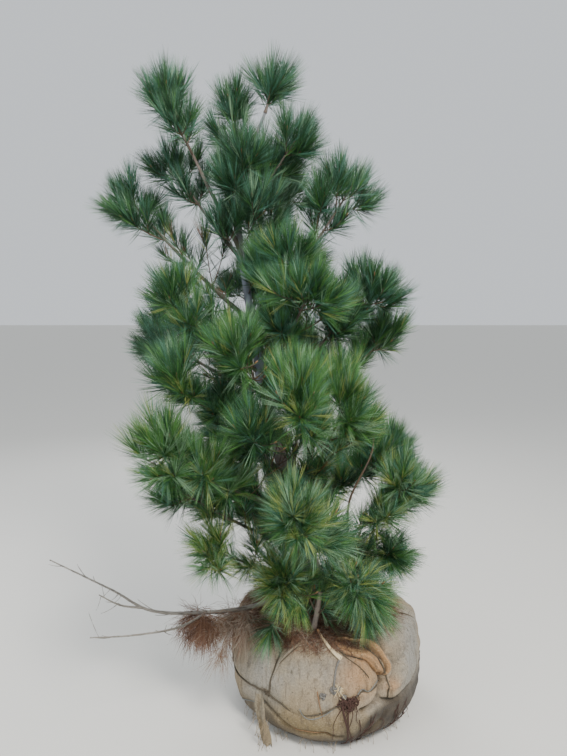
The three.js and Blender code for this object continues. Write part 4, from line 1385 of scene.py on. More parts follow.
class PINE_OT_needles(Builder):
    """Grow the needles in bundles of five and deal them the greens"""

    bl_idname = "pine.needles"
    bl_label = "Needles"

    def build(self, context):
        needle, _, _ = settings()
        rng = np.random.default_rng(11)
        tufts = [(limb, path, vigour) for limb, path, _, vigour in tree().shoots]
        tufts.append((tree().limbs[-1], Bow(*HANGING_SHOOT), 1.0))
        rows = [self.tuft(*tuft, needle, rng) for tuft in tufts]
        bases, ways, lengths, bows, drops, greens = (np.concatenate(column) for column in zip(*rows))
        bent = rng.random(len(bases)) < BENT_SHARE
        for number, green in enumerate(GREENS):
            chosen = np.flatnonzero(greens == number)
            triangles = np.where(bent[chosen], 6, 4).sum()
            count = int(np.ceil(triangles / PIECE_TRIANGLES))
            finish = plain_finish(f"{green} needles", getattr(needle, green), 0.5, Specular_IOR_Level=0.35)
            for part, at in enumerate(np.array_split(chosen, count)):
                points, faces = needle_mesh(
                    bases[at], ways[at], lengths[at], needle.radius, bows[at], drops[at], bent[at], rng
                )
                name = f"needles_{green}_{part + 1}" if count > 1 else f"needles_{green}"
                finish_piece(new_piece(name, points, faces, False), "needles", finish, *mass_names())

    def tuft(self, limb, path, vigour, needle, rng):
        """Bases, directions, lengths, bends and greens of the needles of one tuft."""
        length = path.length()
        hang = limb.habit.hang
        start = max(1 - TUFT_LENGTH / length, LEAST_TUFT_START)
        count = int(needle.bundles * vigour * (LEAST_COUNT + COUNT_SWING * rng.random()))
        order = np.sort(rng.random(count))
        shares = lerp(start, 1.0, order)
        old = int(OLD_SHARE * count)
        oldest = max(start - OLD_LENGTH / length, LEAST_TUFT_START)
        shares[:old] = lerp(oldest, start, rng.random(old))
        centre, ahead = path.at(shares), path.ahead(shares)
        level = unit(np.cross(ahead, guide_for(ahead[-1])))
        above = np.cross(level, ahead)
        turn = np.radians(GOLDEN_TURN * np.arange(count) + 30 * rng.random(count))[:, None]
        outward = level * np.cos(turn) + above * np.sin(turn)
        lean = lerp(ROOT_LEAN, TIP_LEAN, order**LEAN_CURVE) + LEAN_SWING * rng.normal(size=count)
        lean = np.radians(lean)[:, None]
        rise = TURN_UP * (1 - 2 * hang) - hang
        way = unit(outward * np.sin(lean) + ahead * np.cos(lean) + UP * rise)
        longest = needle.length * limb.habit.long * lerp(WEAK_LENGTH, 1, min(vigour, 1))
        reach = longest * (1 - LENGTH_SWING * rng.random(count))
        # The inner shoots take the inner tone: painted shade inside the crown, with old yellow and brown
        # needles
        tone = "inner" if vigour == INNER_VIGOUR else limb.tone
        weights = np.array(TONES[tone]) * rng.uniform(*TONE_SWING, len(GREENS))
        greens = rng.choice(len(GREENS), count, p=weights / weights.sum())
        return self.bundles(centre, outward, way, reach, greens, hang, rng)

    def bundles(self, centre, outward, way, reach, greens, hang, rng):
        """The needles of bundles, without those that stand in the way of wood or a gap."""
        count = len(centre) * BUNDLE
        bases = np.repeat(centre + outward * SHEATH, BUNDLE, 0)
        ways = unit(np.repeat(way, BUNDLE, 0) + BUNDLE_SPREAD * rng.normal(size=(count, 3)))
        lengths = np.repeat(reach, BUNDLE) * (1 - BUNDLE_SWING * rng.random(count))
        bows = np.repeat(outward, BUNDLE, 0) * BOW * lengths[:, None]
        bows = bows + UP * HANGING_BOW * hang * lengths[:, None]
        drops = lengths * (DROOP + DROOP_SWING * rng.random(count) + HANGING_DROOP * hang)
        ends = bases + ways * lengths[:, None] - UP * drops[:, None]
        middles = bases + ways * lengths[:, None] * 0.5
        free = tree().in_open_air(ends, NEEDLE_CLEARANCE) & tree().in_open_air(middles, MM)
        for points in (bases, middles, ends):
            free &= gaps().distances(points).min(1) > GAP_RADIUS
        columns = (bases, ways, lengths, bows, drops, np.repeat(greens, BUNDLE))
        return tuple(column[free] for column in columns)


# Twigs on the dead wood: count, shares they start at, spread, reach in mm, rise and radii
DEAD_TWIGLETS, TWIGLET_SHARES, TWIGLET_SPREAD = 22, (0.35, 0.96), 0.9
TWIGLET_REACH, TWIGLET_RISE = (25, 95), 0.25
TWIGLET_RADII = (2 * MM, 0.7 * MM)
# How fast the dead wood's grain changes along each axis
DEAD_GRAIN = (40, 180, 180)
# Sprigs of dead needles: spread in degrees, shares of the tuft's reach and drop, crowding
SPRIG_SPREAD, SPRIG_REACH, SPRIG_DROP, SPRIG_CROWDING = 110, (0.3, 1.25), (0.2, 1.15), 0.6
# The two browns of each tuft, and the share of its needles that have the first
TUFT_BROWNS = {"outer": ("dry", "umber"), "inner": ("ash", "dry")}
FIRST_BROWN_SHARE = 0.6
# Dead needles: half their width, then shares of a needle's length: lengths, bow and drop
DEAD_RADIUS = 0.75 * MM
DEAD_LENGTHS, DEAD_BOW, DEAD_DROP = (0.3, 1.0), 0.08, 0.15


class PINE_OT_dead_wood(Builder):
    """Lay the dead bough, its twigs and the tufts of dead needles on it"""

    bl_idname = "pine.dead_wood"
    bl_label = "Dead wood"

    def build(self, context):
        rng = np.random.default_rng(23)
        bough, *twigs = dead_lines(150, 60)
        lines = [(bough, taper(DEAD_BOUGH_RADII, 150))]
        lines += [(twig, taper(DEAD_TWIG_RADII, 60)) for twig in twigs]
        for i in range(DEAD_TWIGLETS):
            lines.append(self.twiglet(*lines[i % 3], rng))
        piece = wooden_curve("dead_bough", lines, BOUGH_ROUNDNESS)
        roughen(piece, lambda place: ripple(place, *DEAD_GRAIN) * MM)
        finish_piece(piece, "dead_wood", dead_wood_finish(), "dead_bough")
        for row, (name, browns) in zip(DEAD_TUFTS, TUFT_BROWNS.items()):
            self.tuft(f"dead_needles_{name}", browns, row, rng)

    def twiglet(self, host, radii, rng):
        """The line and radii of a fine twig that forks off a dead limb."""
        at = int(len(host) * rng.uniform(*TWIGLET_SHARES))
        way = unit(host[min(at + 2, len(host) - 1)] - host[at - 1] + 0.012 * rng.normal(size=3))
        way = unit(way + TWIGLET_SPREAD * unit(rng.normal(size=3)) * (1, 1, 0.5))
        reach = rng.uniform(*TWIGLET_REACH) * MM
        steps = np.linspace(0, 1, 9)[:, None]
        line = host[at] + way * reach * steps + UP * reach * TWIGLET_RISE * steps**2
        thick, thin = TWIGLET_RADII
        return line, taper((min(radii[at] * 0.5, thick), thin), 9)

    def tuft(self, name, browns, row, rng):
        """Sprigs of dead needles that hang from the bough."""
        needle, _, _ = settings()
        share, heading, reach, drop, count = row
        root = spline(DEAD_BOUGH, share)
        bases, ways = [], []
        for _ in range(DEAD_SPRIGS):
            spread = heading + rng.uniform(-SPRIG_SPREAD, SPRIG_SPREAD)
            far, fall = reach * rng.uniform(*SPRIG_REACH) * MM, drop * rng.uniform(*SPRIG_DROP) * MM
            tip = root + towards(spread) * far - UP * fall
            path = Bow(root, (root + tip) / 2 + UP * TUFT_ARCH, tip)
            along = rng.random(count // DEAD_SPRIGS) ** SPRIG_CROWDING
            bases.append(path.at(along) + 5 * MM * rng.normal(size=(len(along), 3)))
            ways.append(unit(path.ahead(along) * 0.4 + 0.7 * rng.normal(size=(len(along), 3)) - UP * 0.7))
        bases, ways = np.vstack(bases), np.vstack(ways)
        lengths = needle.length * rng.uniform(*DEAD_LENGTHS, len(bases))
        free = tree().in_open_air(bases + ways * lengths[:, None], MM)
        bases, ways, lengths = bases[free], ways[free], lengths[free]
        first = rng.random(len(bases)) < FIRST_BROWN_SHARE
        for brown, at in zip(browns, (first, ~first)):
            count = int(at.sum())
            bows = DEAD_BOW * lengths[at][:, None] * unit(rng.normal(size=(count, 3)))
            drops = DEAD_DROP * lengths[at]
            bent = np.ones(count, bool)
            points, faces = needle_mesh(bases[at], ways[at], lengths[at], DEAD_RADIUS, bows, drops, bent, rng)
            finish = plain_finish(f"{name} {brown}", getattr(needle, brown), 0.75)
            finish_piece(new_piece(f"{name}_{brown}", points, faces, False), "dead_needles", finish, name)


# Reliefs of the burlap: bulges between twines, their lumps, wrinkles and the grooves of twines
BULGE, LUMPS, WRINKLES, GROOVE = 5 * MM, 9 * MM, 2 * MM, 3.5 * MM
PULL_REACH, GROOVE_REACH = 30 * MM, 8 * MM
LUMP_RATES = ((9, 9, 9), (24, 24, 24))
WRINKLE_RATES = ((30, 30, 9), (70, 70, 40))
RELIEF_FADE = 0.35
# Pleats towards the collar: depth, how many in a radian, how they stray and the shares they span
PLEAT_DEPTH, PLEATS, PLEAT_STRAY = 4 * MM, 34, 5
PLEAT_SHARES = (0.55, 0.9, 0.93, 1)
# The squarer right shoulder, as soft patches: rise in mm, heading, share, width and height
SQUARE = ((12, SQUARE_HEADING, 0.64, 26, 0.12), (-17, SQUARE_HEADING, 0.36, 32, 0.16))
# Stained parts, as soft patches: strength, heading, share, width and height
STAINS = {
    "warm": ((0.8, 291, 0.64, 11, 0.1), (0.75, 285, 0.47, 13, 0.13), (0.8, 307, 0.36, 5, 0.04)),
    "cool": ((1, 330, 0.5, 24, 0.3), (0.7, 222, 0.55, 10, 0.2), (0.4, 252, 0.5, 12, 0.15)),
    "ochre": ((1, 256, 0.2, 26, 0.09), (0.8, 300, 0.18, 20, 0.08), (0.5, 120, 0.2, 60, 0.1)),
}
# Earth and painted shade near the ground, earth near the top, and painted shade in the folds
LOW_SOIL_AND_SHADE, LOW_BAND_HEIGHT, LOW_BAND_CURVE = 0.8, 185 * MM, 1.1
TOP_SOIL, TOP_SOIL_SHARES = 0.6, (0.72, 0.92)
UNSHADED_FOLD, FOLD_SHADE_DEPTH = 5 * MM, 36 * MM
# Painted shade under the right lobe and low on the left, ending at an edge: how soft the edge is,
# its headings and widths on the right and the left, and where the right one slants
SHADE_EDGE, RIGHT_SHADE, LEFT_SHADE = 0.05, (322, 44), (209, 20)
SLANT_HEADINGS, SLANT_SHARES = (270, 294), (0.08, 0.31)
# The sphere that becomes the burlap, and the part of it that becomes the flat underside
BALL_SEGMENTS, BALL_RINGS, SOLE = 250, 150, 0.12
# Metres of thread in a radian round the ball, and in its whole height
THREADS_ROUND, THREADS_UP = 0.36, 0.62


@lru_cache(maxsize=1)
def twine_tree():
    """The twines' points, to find how near the burlap is to one."""
    points = np.vstack([ball_point(line[:, 0], line[:, 1]) for line in twine_stations()])
    near = kdtree.KDTree(len(points))
    for i, point in enumerate(points):
        near.insert(point, i)
    near.balance()
    return near


def fold_depths(points):
    """How deep the pressed folds are at points of the burlap."""
    depth = np.zeros(len(points))
    for deepest, width, stations in FOLDS:
        line = even_line(stations, 25)
        off = Lines([ball_point(line[:, 0], line[:, 1])]).distances(points)[:, 0]
        depth += deepest * MM * np.exp(-((off / (width * MM)) ** 2))
    return depth


def two_ripples(points, slow, fast):
    """Smooth noise at points: a slow ripple and a fast one of half its height."""
    return np.array([ripple(point, *slow) + 0.5 * ripple(point, *fast) for point in points])


def soft_patches(heading, share, patches):
    """Soft round patches on the burlap, added up."""
    total = np.zeros(len(heading))
    for height, middle, at, wide, tall in patches:
        off = degrees_off(heading, middle) / wide
        total += height * np.exp(-(off**2) - ((share - at) / tall) ** 2)
    return total


def skin_point(heading, share, lift=0.0):
    """Points of the burlap as it bulges between the twines and folds."""
    base = ball_point(heading, share)
    near = twine_tree()
    gap = np.array([near.find(Vector(point))[2] for point in base])
    loose = 1 - np.exp(-((gap / PULL_REACH) ** 2))
    groove = GROOVE * np.exp(-((gap / GROOVE_REACH) ** 2))
    lumps = two_ripples(base, *LUMP_RATES)
    wrinkles = WRINKLES * two_ripples(base, *WRINKLE_RATES)
    pleats = PLEAT_DEPTH * np.interp(share, PLEAT_SHARES, (0, 1, 1, 0))
    pleats = pleats * np.sin(np.radians(heading) * PLEATS + PLEAT_STRAY * lumps)
    square = MM * soft_patches(heading, share, SQUARE)
    rise = loose * (BULGE + LUMPS * lumps + pleats) + wrinkles + square
    fade = np.clip(np.sin(np.pi * np.clip(share, 0, 1)), 0, 1) ** RELIEF_FADE
    offset = fade * (rise - groove) - fold_depths(base) + lift
    return base + unit_normals(heading, share) * offset[:, None]


class PINE_OT_root_ball(Builder):
    """Wrap the root ball in burlap that bulges between the twines"""

    bl_idname = "pine.root_ball"
    bl_label = "Root ball"

    def build(self, context):
        bpy.ops.object.select_all(action="DESELECT")
        bpy.ops.mesh.primitive_uv_sphere_add(segments=BALL_SEGMENTS, ring_count=BALL_RINGS, radius=1)
        piece = context.object
        piece.name = piece.data.name = "burlap"
        corners = np.array([vertex.co for vertex in piece.data.vertices])
        turn = np.arctan2(corners[:, 1], corners[:, 0])
        turn = turn - FRONT_CROWDING * np.sin(turn - math.radians(FRONT))
        heading = np.degrees(turn) % 360
        level = np.arccos(np.clip(-corners[:, 2], -1, 1)) / np.pi
        share = np.interp(level, (SOLE, 1), (0, 1))
        flat = ball_point(heading, np.zeros_like(share)) * (level / SOLE)[:, None] * (1, 1, 0)
        places = np.where(level[:, None] < SOLE, flat, skin_point(heading, share))
        places[:, 2] = np.maximum(places[:, 2], 0)
        piece.data.vertices.foreach_set("co", places.ravel())
        threads = np.stack([np.radians(heading) * THREADS_ROUND, share * THREADS_UP], 1)
        paint(piece.data, self.stains(heading, share, places), threads)
        piece.data.update()
        pick(piece)
        bpy.ops.object.shade_smooth()
        finish_piece(piece, "root_ball", burlap_finish("burlap"), "root_ball")

    def stains(self, heading, share, places):
        """How far each corner of the burlap is darkened by earth and painted shade, and how far it is warm,
        cool and ochre.
        """
        # Earth and painted shade in the low band, and earth near the top
        soil = LOW_SOIL_AND_SHADE * np.interp(places[:, 2], (0, LOW_BAND_HEIGHT), (1, 0)) ** LOW_BAND_CURVE
        soil += TOP_SOIL * np.interp(share, TOP_SOIL_SHARES, (0, 1))
        # Painted shade in the deep folds
        folds = fold_depths(ball_point(heading, share))
        soil += np.clip(folds - UNSHADED_FOLD, 0, 1) / FOLD_SHADE_DEPTH
        # Painted shade under the right lobe and low on the left of the tail
        slant = np.interp(heading, SLANT_HEADINGS, SLANT_SHARES)
        for strength, middle, wide, top in ((1, *RIGHT_SHADE, slant), (0.35, *LEFT_SHADE, 0.24)):
            near = np.exp(-((degrees_off(heading, middle) / wide) ** 4))
            soil += strength * near * np.clip((top - share) / SHADE_EDGE, 0, 1)
        stains = {"soil": np.clip(soil, 0, 1)}
        for name, patches in STAINS.items():
            stains[name] = np.clip(soft_patches(heading, share, patches), 0, 1)
        return stains


def on_skin(stations, count):
    """Points on the burlap of a line of headings, shares and lifts in mm."""
    heading, share, lift = even_line(stations, count).T
    return skin_point(heading, share, lift * MM)


def laid(stations, step=4 * MM):
    """Points of a line that lies on the burlap, or dips under it."""
    dense = even_line(stations, 40) if len(stations) < RUN_STEPS else stations
    run = run_along(ball_point(dense[:, 0], dense[:, 1]))
    stops = np.linspace(0, run[-1], max(6, int(run[-1] / step)))
    heading, share, lift = (np.interp(stops, run, column) for column in dense.T)
    return smoothed(skin_point(heading, share, lift * MM), 4)


# Cords on the burlap, each along stations with a heading, a share and a lift in mm
TWINE_ENDS = (
    ((270, 0.72, 2), (276, 0.66, 2), (280, 0.61, 2), (286, 0.53, 2), (291, 0.45, 2)),
    ((253, 0.73, 5), (249, 0.67, 5), (242, 0.56, 5), (238, 0.48, 4), (234, 0.4, 3)),
    ((276, 0.66, 4), (281, 0.63, 4), (287, 0.6, 3), (292, 0.55, -3)),
)
ROPE = ((275, 0.625, 5), (273, 0.58, 5), (272, 0.53, 4), (271, 0.46, 4), (270.5, 0.42, 4))
WIRES = (
    ((206, 0.17, 2), (216, 0.21, 2), (229, 0.25, 2)),
    ((253, 0.31, 2), (255, 0.27, 3), (259, 0.265, 3), (266, 0.29, 3), (272, 0.33, 2), (274, 0.34, 2)),
    ((282, 0.36, 3), (286, 0.405, 3), (290, 0.38, 3), (295, 0.41, 3), (300, 0.42, 2)),
    ((352, 0.34, 2), (356, 0.26, 2), (362, 0.16, 3), (364, 0.06, 4)),
)
TWINE_RADIUS, END_RADIUS, ROPE_RADIUS, WIRE_RADIUS = 2.6 * MM, 1.5 * MM, 3.4 * MM, 1.4 * MM
STRANDS, TWINE_TWIST, END_TWIST, ROPE_TWIST, KNOT_TWIST = 3, 170, 260, 140, 200
# Knots: heading, share and width in mm, and how thick their cord is
TWINE_KNOTS = ((231, 0.32, 9), (89, 0.3, 9), (138, 0.3, 9), (190, 0.3, 9), (30, 0.3, 9))
ROPE_KNOTS = ((270.5, 0.415, 11), (265, 0.39, 9), (273, 0.42, 8), (276, 0.38, 6))
TWINE_KNOT_RADIUS, ROPE_KNOT_RADIUS = 2.8 * MM, 3.6 * MM


class PINE_OT_twine(Builder):
    """Lace the ball with twine, a rope and wire"""

    bl_idname = "pine.twine"
    bl_label = "Twine"

    def build(self, context):
        _, _, burlap = settings()
        twine, rope, wire = Tubes(), Tubes(), Tubes()
        for number, stations in enumerate(twine_stations()):
            if number != STRAP_RUN:
                twine.add(laid(stations), TWINE_RADIUS, 8, STRANDS, TWINE_TWIST)
        for stations in TWINE_ENDS:
            twine.add(laid(stations), END_RADIUS, 7, STRANDS, END_TWIST)
        rope.add(laid(ROPE, 3 * MM), ROPE_RADIUS, 10, STRANDS, ROPE_TWIST)
        for stations in WIRES:
            wire.add(laid(stations), WIRE_RADIUS, 8)
        for tubes, knots, radius in (
            (twine, TWINE_KNOTS, TWINE_KNOT_RADIUS),
            (rope, ROPE_KNOTS, ROPE_KNOT_RADIUS),
        ):
            for heading, share, width in knots:
                self.knot(tubes, heading, share, width * MM, radius)
        finish = fibre_finish("twine fibre", burlap.twine, hex_colour(0x2E2820))
        finish_piece(twine.make("twine"), "twine", finish, "twine")
        finish = fibre_finish("grey rope", burlap.rope, hex_colour(0x3F3E42))
        finish_piece(rope.make("rope"), "twine", finish)
        finish = fibre_finish("wire", burlap.wire, hex_colour(0x4C504E), 0.5)
        finish_piece(wire.make("wire"), "twine", finish)

    def knot(self, tubes, heading, share, width, radius):
        """A small overhand knot that lies on the burlap."""
        turn = np.linspace(0, 2 * np.pi, 40)
        aside = np.sin(turn) + 2 * np.sin(2 * turn)
        upward = np.cos(turn) - 2 * np.cos(2 * turn)
        outward = -np.sin(3 * turn)
        place = np.array([heading]), np.array([share])
        normal = unit_normals(*place)[0]
        level = unit(np.cross(UP, normal))
        above = np.cross(normal, level)
        loop = aside[:, None] * level + upward[:, None] * above
        line = skin_point(*place, radius) + width / 3 * loop + normal * outward[:, None] * radius
        tubes.add(line, radius, 8, STRANDS, KNOT_TWIST)


def cloth_piece(name, rows, thickness, rounds, stains):
    """Cloth stretched over rows of points, with thickness and soft folds."""
    rows = np.asarray(rows)
    tall, wide = rows.shape[:2]
    bpy.ops.object.select_all(action="DESELECT")
    bpy.ops.mesh.primitive_grid_add(x_subdivisions=wide - 1, y_subdivisions=tall - 1, size=1)
    piece = bpy.context.object
    piece.name = piece.data.name = name
    piece.data.vertices.foreach_set("co", rows.ravel())
    stains = {
        layer: np.repeat(np.broadcast_to(stain, tall).astype(float), wide) for layer, stain in stains.items()
    }
    across = np.linspace(0, np.linalg.norm(rows[0, -1] - rows[0, 0]), wide, endpoint=False)
    down = np.linspace(0, np.linalg.norm(rows[-1, 0] - rows[0, 0]), tall, endpoint=False)
    paint(piece.data, stains, np.stack([np.tile(across, tall), np.repeat(down, wide)], 1))
    pick(piece)
    for kind, values in (
        ("SOLIDIFY", {"thickness": thickness, "offset": 0}),
        ("SUBSURF", {"levels": rounds, "render_levels": rounds}),
    ):
        modifier = piece.modifiers.new(kind.lower(), kind)
        for key, value in values.items():
            setattr(modifier, key, value)
        bpy.ops.object.modifier_apply(modifier=modifier.name)
    face_out()
    return piece


def band(stations, count, lift, rounds):
    """A line over the burlap, with the directions across it and out of the burlap."""
    heading, share = even_line(stations, count).T
    points = smoothed(skin_point(heading, share, lift), rounds)
    out = unit_normals(heading, share)
    return points, np.cross(unit(np.gradient(points, axis=0)), out), out


EVEN_STAINS = {"soil": 0.1, "warm": 0.0, "cool": 0.0, "ochre": 0.0}
# The flap: headings and shares of its edge and its root, and how fast its waves run
FLAP_STEPS = 44
FLAP_EDGE = ((274, 0.74), (286, 0.72), (296, 0.69), (300, 0.64), (304, 0.54), (306, 0.46), (303, 0.425))
FLAP_ROOT = ((273, 0.71), (279, 0.65), (286, 0.61), (291, 0.56), (295, 0.49), (298, 0.45), (301, 0.42))
FLAP_WAVES = ((1.5, 27, 6), (1.6, 11, 3))
# The strap: headings and shares of its middle, half its width in mm, and the lines along it
STRAP_LINE, STRAP_STEPS = ((260, 0.77), (266, 0.71), (271, 0.66), (275.5, 0.615)), 14
STRAP_WIDTHS, STRAP_FLARE, STRAP_SECTION = (4.0, 8.5), 1.3, (-1, -0.3, 0.3, 1)
# The lapped seam: headings and shares of its middle, and its section in mm, across and out
SEAM_LINE, SEAM_STEPS = ((256, 0.77), (250, 0.69), (243, 0.6), (238, 0.48), (235, 0.4)), 24
SEAM_SECTION = ((-7, -4), (-4, 2), (0, 4), (3, 2), (5, -3))
# The tail: rows and columns, then its heights, distances from the middle and headings
TAIL_ROWS, TAIL_COLUMNS, TAIL_HEM = 22, 11, 0.9
TAIL_HEIGHTS, TAIL_OUTS, TAIL_HEADINGS = (190, 4), (398, 392), (230, 234)
# Frayed threads: headings, heights in mm, and how far out at the ground and at the foot's top
TAIL_FRAYS = (228, 237), (20, 120), (0.402, 0.402)
FOOT_FRAYS = (205, 330), (6, 50), (0.304, 0.366)
FRAY_COUNT, TAIL_FRAY_COUNT, FOOT_HEIGHT = 70, 26, 75 * MM
FRAYED_ROPE_COUNT = 22


class PINE_OT_cloth(Builder):
    """Fold the flap, the strap, the lapped seam and the tail of the burlap"""

    bl_idname = "pine.cloth"
    bl_label = "Burlap folds"

    def build(self, context):
        _, _, burlap = settings()
        finish = burlap_finish("flap burlap")
        cream = fibre_finish("cream strap", burlap.cream, hex_colour(0xA8946C))
        finish_piece(self.flap(), "root_ball", finish)
        finish_piece(self.strap(), "twine", cream)
        finish_piece(self.frayed_rope(), "twine", cream)
        finish_piece(self.seam(), "root_ball", finish)
        finish_piece(self.tail(), "root_ball", finish)
        finish = fibre_finish("frayed thread", burlap.tan, hex_colour(0x6B5A44))
        finish_piece(self.frayed_threads(), "root_ball", finish)

    def flap(self):
        """A panel with a fold inside its rolled edge, proud of the gap under it, with painted shade in the
        fold and the gap.
        """
        along = np.linspace(0, 1, FLAP_STEPS)
        edge, root = even_line(FLAP_EDGE, FLAP_STEPS), even_line(FLAP_ROOT, FLAP_STEPS)
        body = np.sin(np.pi * np.clip(along * 0.96 + 0.03, 0, 1)) ** 0.4
        rows = []
        for across, rise, _ in FLAP_SECTION:
            waves = sum(height * np.sin(rate * along + shift * across) for height, rate, shift in FLAP_WAVES)
            heading, share = lerp(root, edge, across).T
            rows.append(skin_point(heading, share, (rise + waves) * body * MM))
        # Painted shade in the fold inside the rolled edge and in the gaps under the flap
        flap_shade = [soil for _, _, soil in FLAP_SECTION]
        return cloth_piece("burlap_flap", rows, 2 * MM, 1, {**EVEN_STAINS, "soil": flap_shade, "warm": 0.85})

    def strap(self):
        """A flat cream band from the twine's start down to the rope."""
        points, side, _ = band(STRAP_LINE, STRAP_STEPS, 8 * MM, 3)
        width = lerp(*STRAP_WIDTHS, np.linspace(0, 1, STRAP_STEPS) ** STRAP_FLARE)[:, None] * MM
        rows = np.stack([points + side * width * off for off in STRAP_SECTION], 1)
        return cloth_piece("strap", rows, 2.2 * MM, 1, EVEN_STAINS)

    def frayed_rope(self):
        """Loose ends of the rope, round its knots."""
        ends = Tubes()
        rng = np.random.default_rng(17)
        for _ in range(FRAYED_ROPE_COUNT):
            start = (rng.uniform(271.5, 275), rng.uniform(0.4, 0.435), 5)
            end = (273.5 + rng.uniform(-3, 4), 0.42 + rng.uniform(-0.05, 0.035), 12)
            ends.add(on_skin((start, end), 5), taper((1.6 * MM, 0.9 * MM), 5), 5)
        return ends.make("frayed_rope")

    def seam(self):
        """The lapped seam above the left run of twine."""
        points, side, out = band(SEAM_LINE, SEAM_STEPS, 3 * MM, 0)
        swell = np.sin(np.pi * np.linspace(0.05, 0.98, SEAM_STEPS))[:, None] * MM
        rows = np.stack([points + swell * (side * off + out * rise) for off, rise in SEAM_SECTION], 1)
        return cloth_piece("burlap_seam", rows, 1.4 * MM, 2, {**EVEN_STAINS, "cool": 0.2})

    def tail(self):
        """A loose strip of burlap that hangs from the knot on the left to the ground."""
        rows = []
        for down in np.linspace(0, 1, TAIL_ROWS):
            out = lerp(*TAIL_OUTS, down) + 7 * math.sin(6 * down)
            spread = 2.6 + 0.9 * down + 0.5 * math.sin(9 * down)
            middle = lerp(*TAIL_HEADINGS, down) + 0.8 * math.sin(5 * down + 1)
            heading = np.linspace(middle - spread, middle + spread, TAIL_COLUMNS)
            waves = 5 * np.sin(np.linspace(0, 8, TAIL_COLUMNS) + 4 * down)
            row = towards(heading) * (out + waves)[:, None]
            row[:, 2] = lerp(*TAIL_HEIGHTS, down)
            if down > TAIL_HEM:
                row[:, 2] += 9 * np.sin(np.linspace(1, 17, TAIL_COLUMNS))
            rows.append(row * MM)
        return cloth_piece("burlap_tail", rows, 1.6 * MM, 1, {**EVEN_STAINS, "soil": 0.2, "ochre": 0.5})

    def frayed_threads(self):
        """Threads that fray from the tail and from the foot of the ball."""
        frays = Tubes()
        rng = np.random.default_rng(5)
        steps = np.linspace(0, 1, 9)[:, None]
        for i in range(FRAY_COUNT):
            headings, heights, outs = TAIL_FRAYS if i < TAIL_FRAY_COUNT else FOOT_FRAYS
            heading = rng.uniform(*headings)
            height = rng.uniform(*heights) * MM
            start = towards(heading) * np.interp(height, (0, FOOT_HEIGHT), outs) + UP * height
            drift = towards(heading + rng.uniform(-70, 70)) * rng.uniform(8, 30) * MM
            fall = min(height - 1.5 * MM, rng.uniform(20, 70) * MM)
            sway = 2.5 * MM * np.sin(7 * steps + i) * towards(heading + 90)
            frays.add(start + drift * steps - UP * fall * steps**1.6 + sway, 0.7 * MM, 4)
        return frays.make("frayed_threads")


# Needles shed on the ball: brown and count
LITTER = (("dry", 2600), ("umber", 3400), ("ash", 900))
# The bed of shed needles: how far out, its middle, how thick at least, and how steep needles lie
BED_REACH, BED_CROWDING, BED_MIDDLE = 0.30, 1.1, (-0.03, -0.02, 0)
BED_THICKNESS, PILE_CURVE = 8 * MM, 1.4
BED_TILT, PILE_TILT, FLAT_THICKNESS, BED_BOW = 0.12, 4, 20 * MM, 0.07
# How far out the ball's top is at some shares of the outline
TOP_REACHES, TOP_SHARES = (0, 0.17, 0.318, 0.356), (1, 5 / 6, 4 / 6, 3 / 6)
# Roots that hang from the knot: heading, share, drop in mm, radius in mm and lean in degrees
HANGING_ROOTS = (
    (276, 0.37, 165, 4.2, 2.5),
    (278, 0.35, 150, 2.6, 4.0),
    (274, 0.34, 90, 1.6, -5.0),
    (281, 0.33, 70, 1.4, 6.0),
    (279, 0.31, 110, 1.2, 1.0),
)
ROOT_RUN = 0.45
# The knot of roots: its headings and shares, and how many strands, loops and low roots
ROOT_KNOT, ROOT_KNOT_SHARES = (274, 282), (0.32, 0.37)
STRAND_COUNT, LOOP_COUNT, LOW_ROOT_COUNT = 16, 26, 18
# Sticks on the burlap: stations and radius in mm
STICKS = (
    (((246, 0.17, 5), (254, 0.185, 5), (262, 0.19, 5), (270, 0.16, 5)), 1.7),
    (((262, 0.41, 3), (263.5, 0.34, 3), (265, 0.27, 3)), 2.2),
)


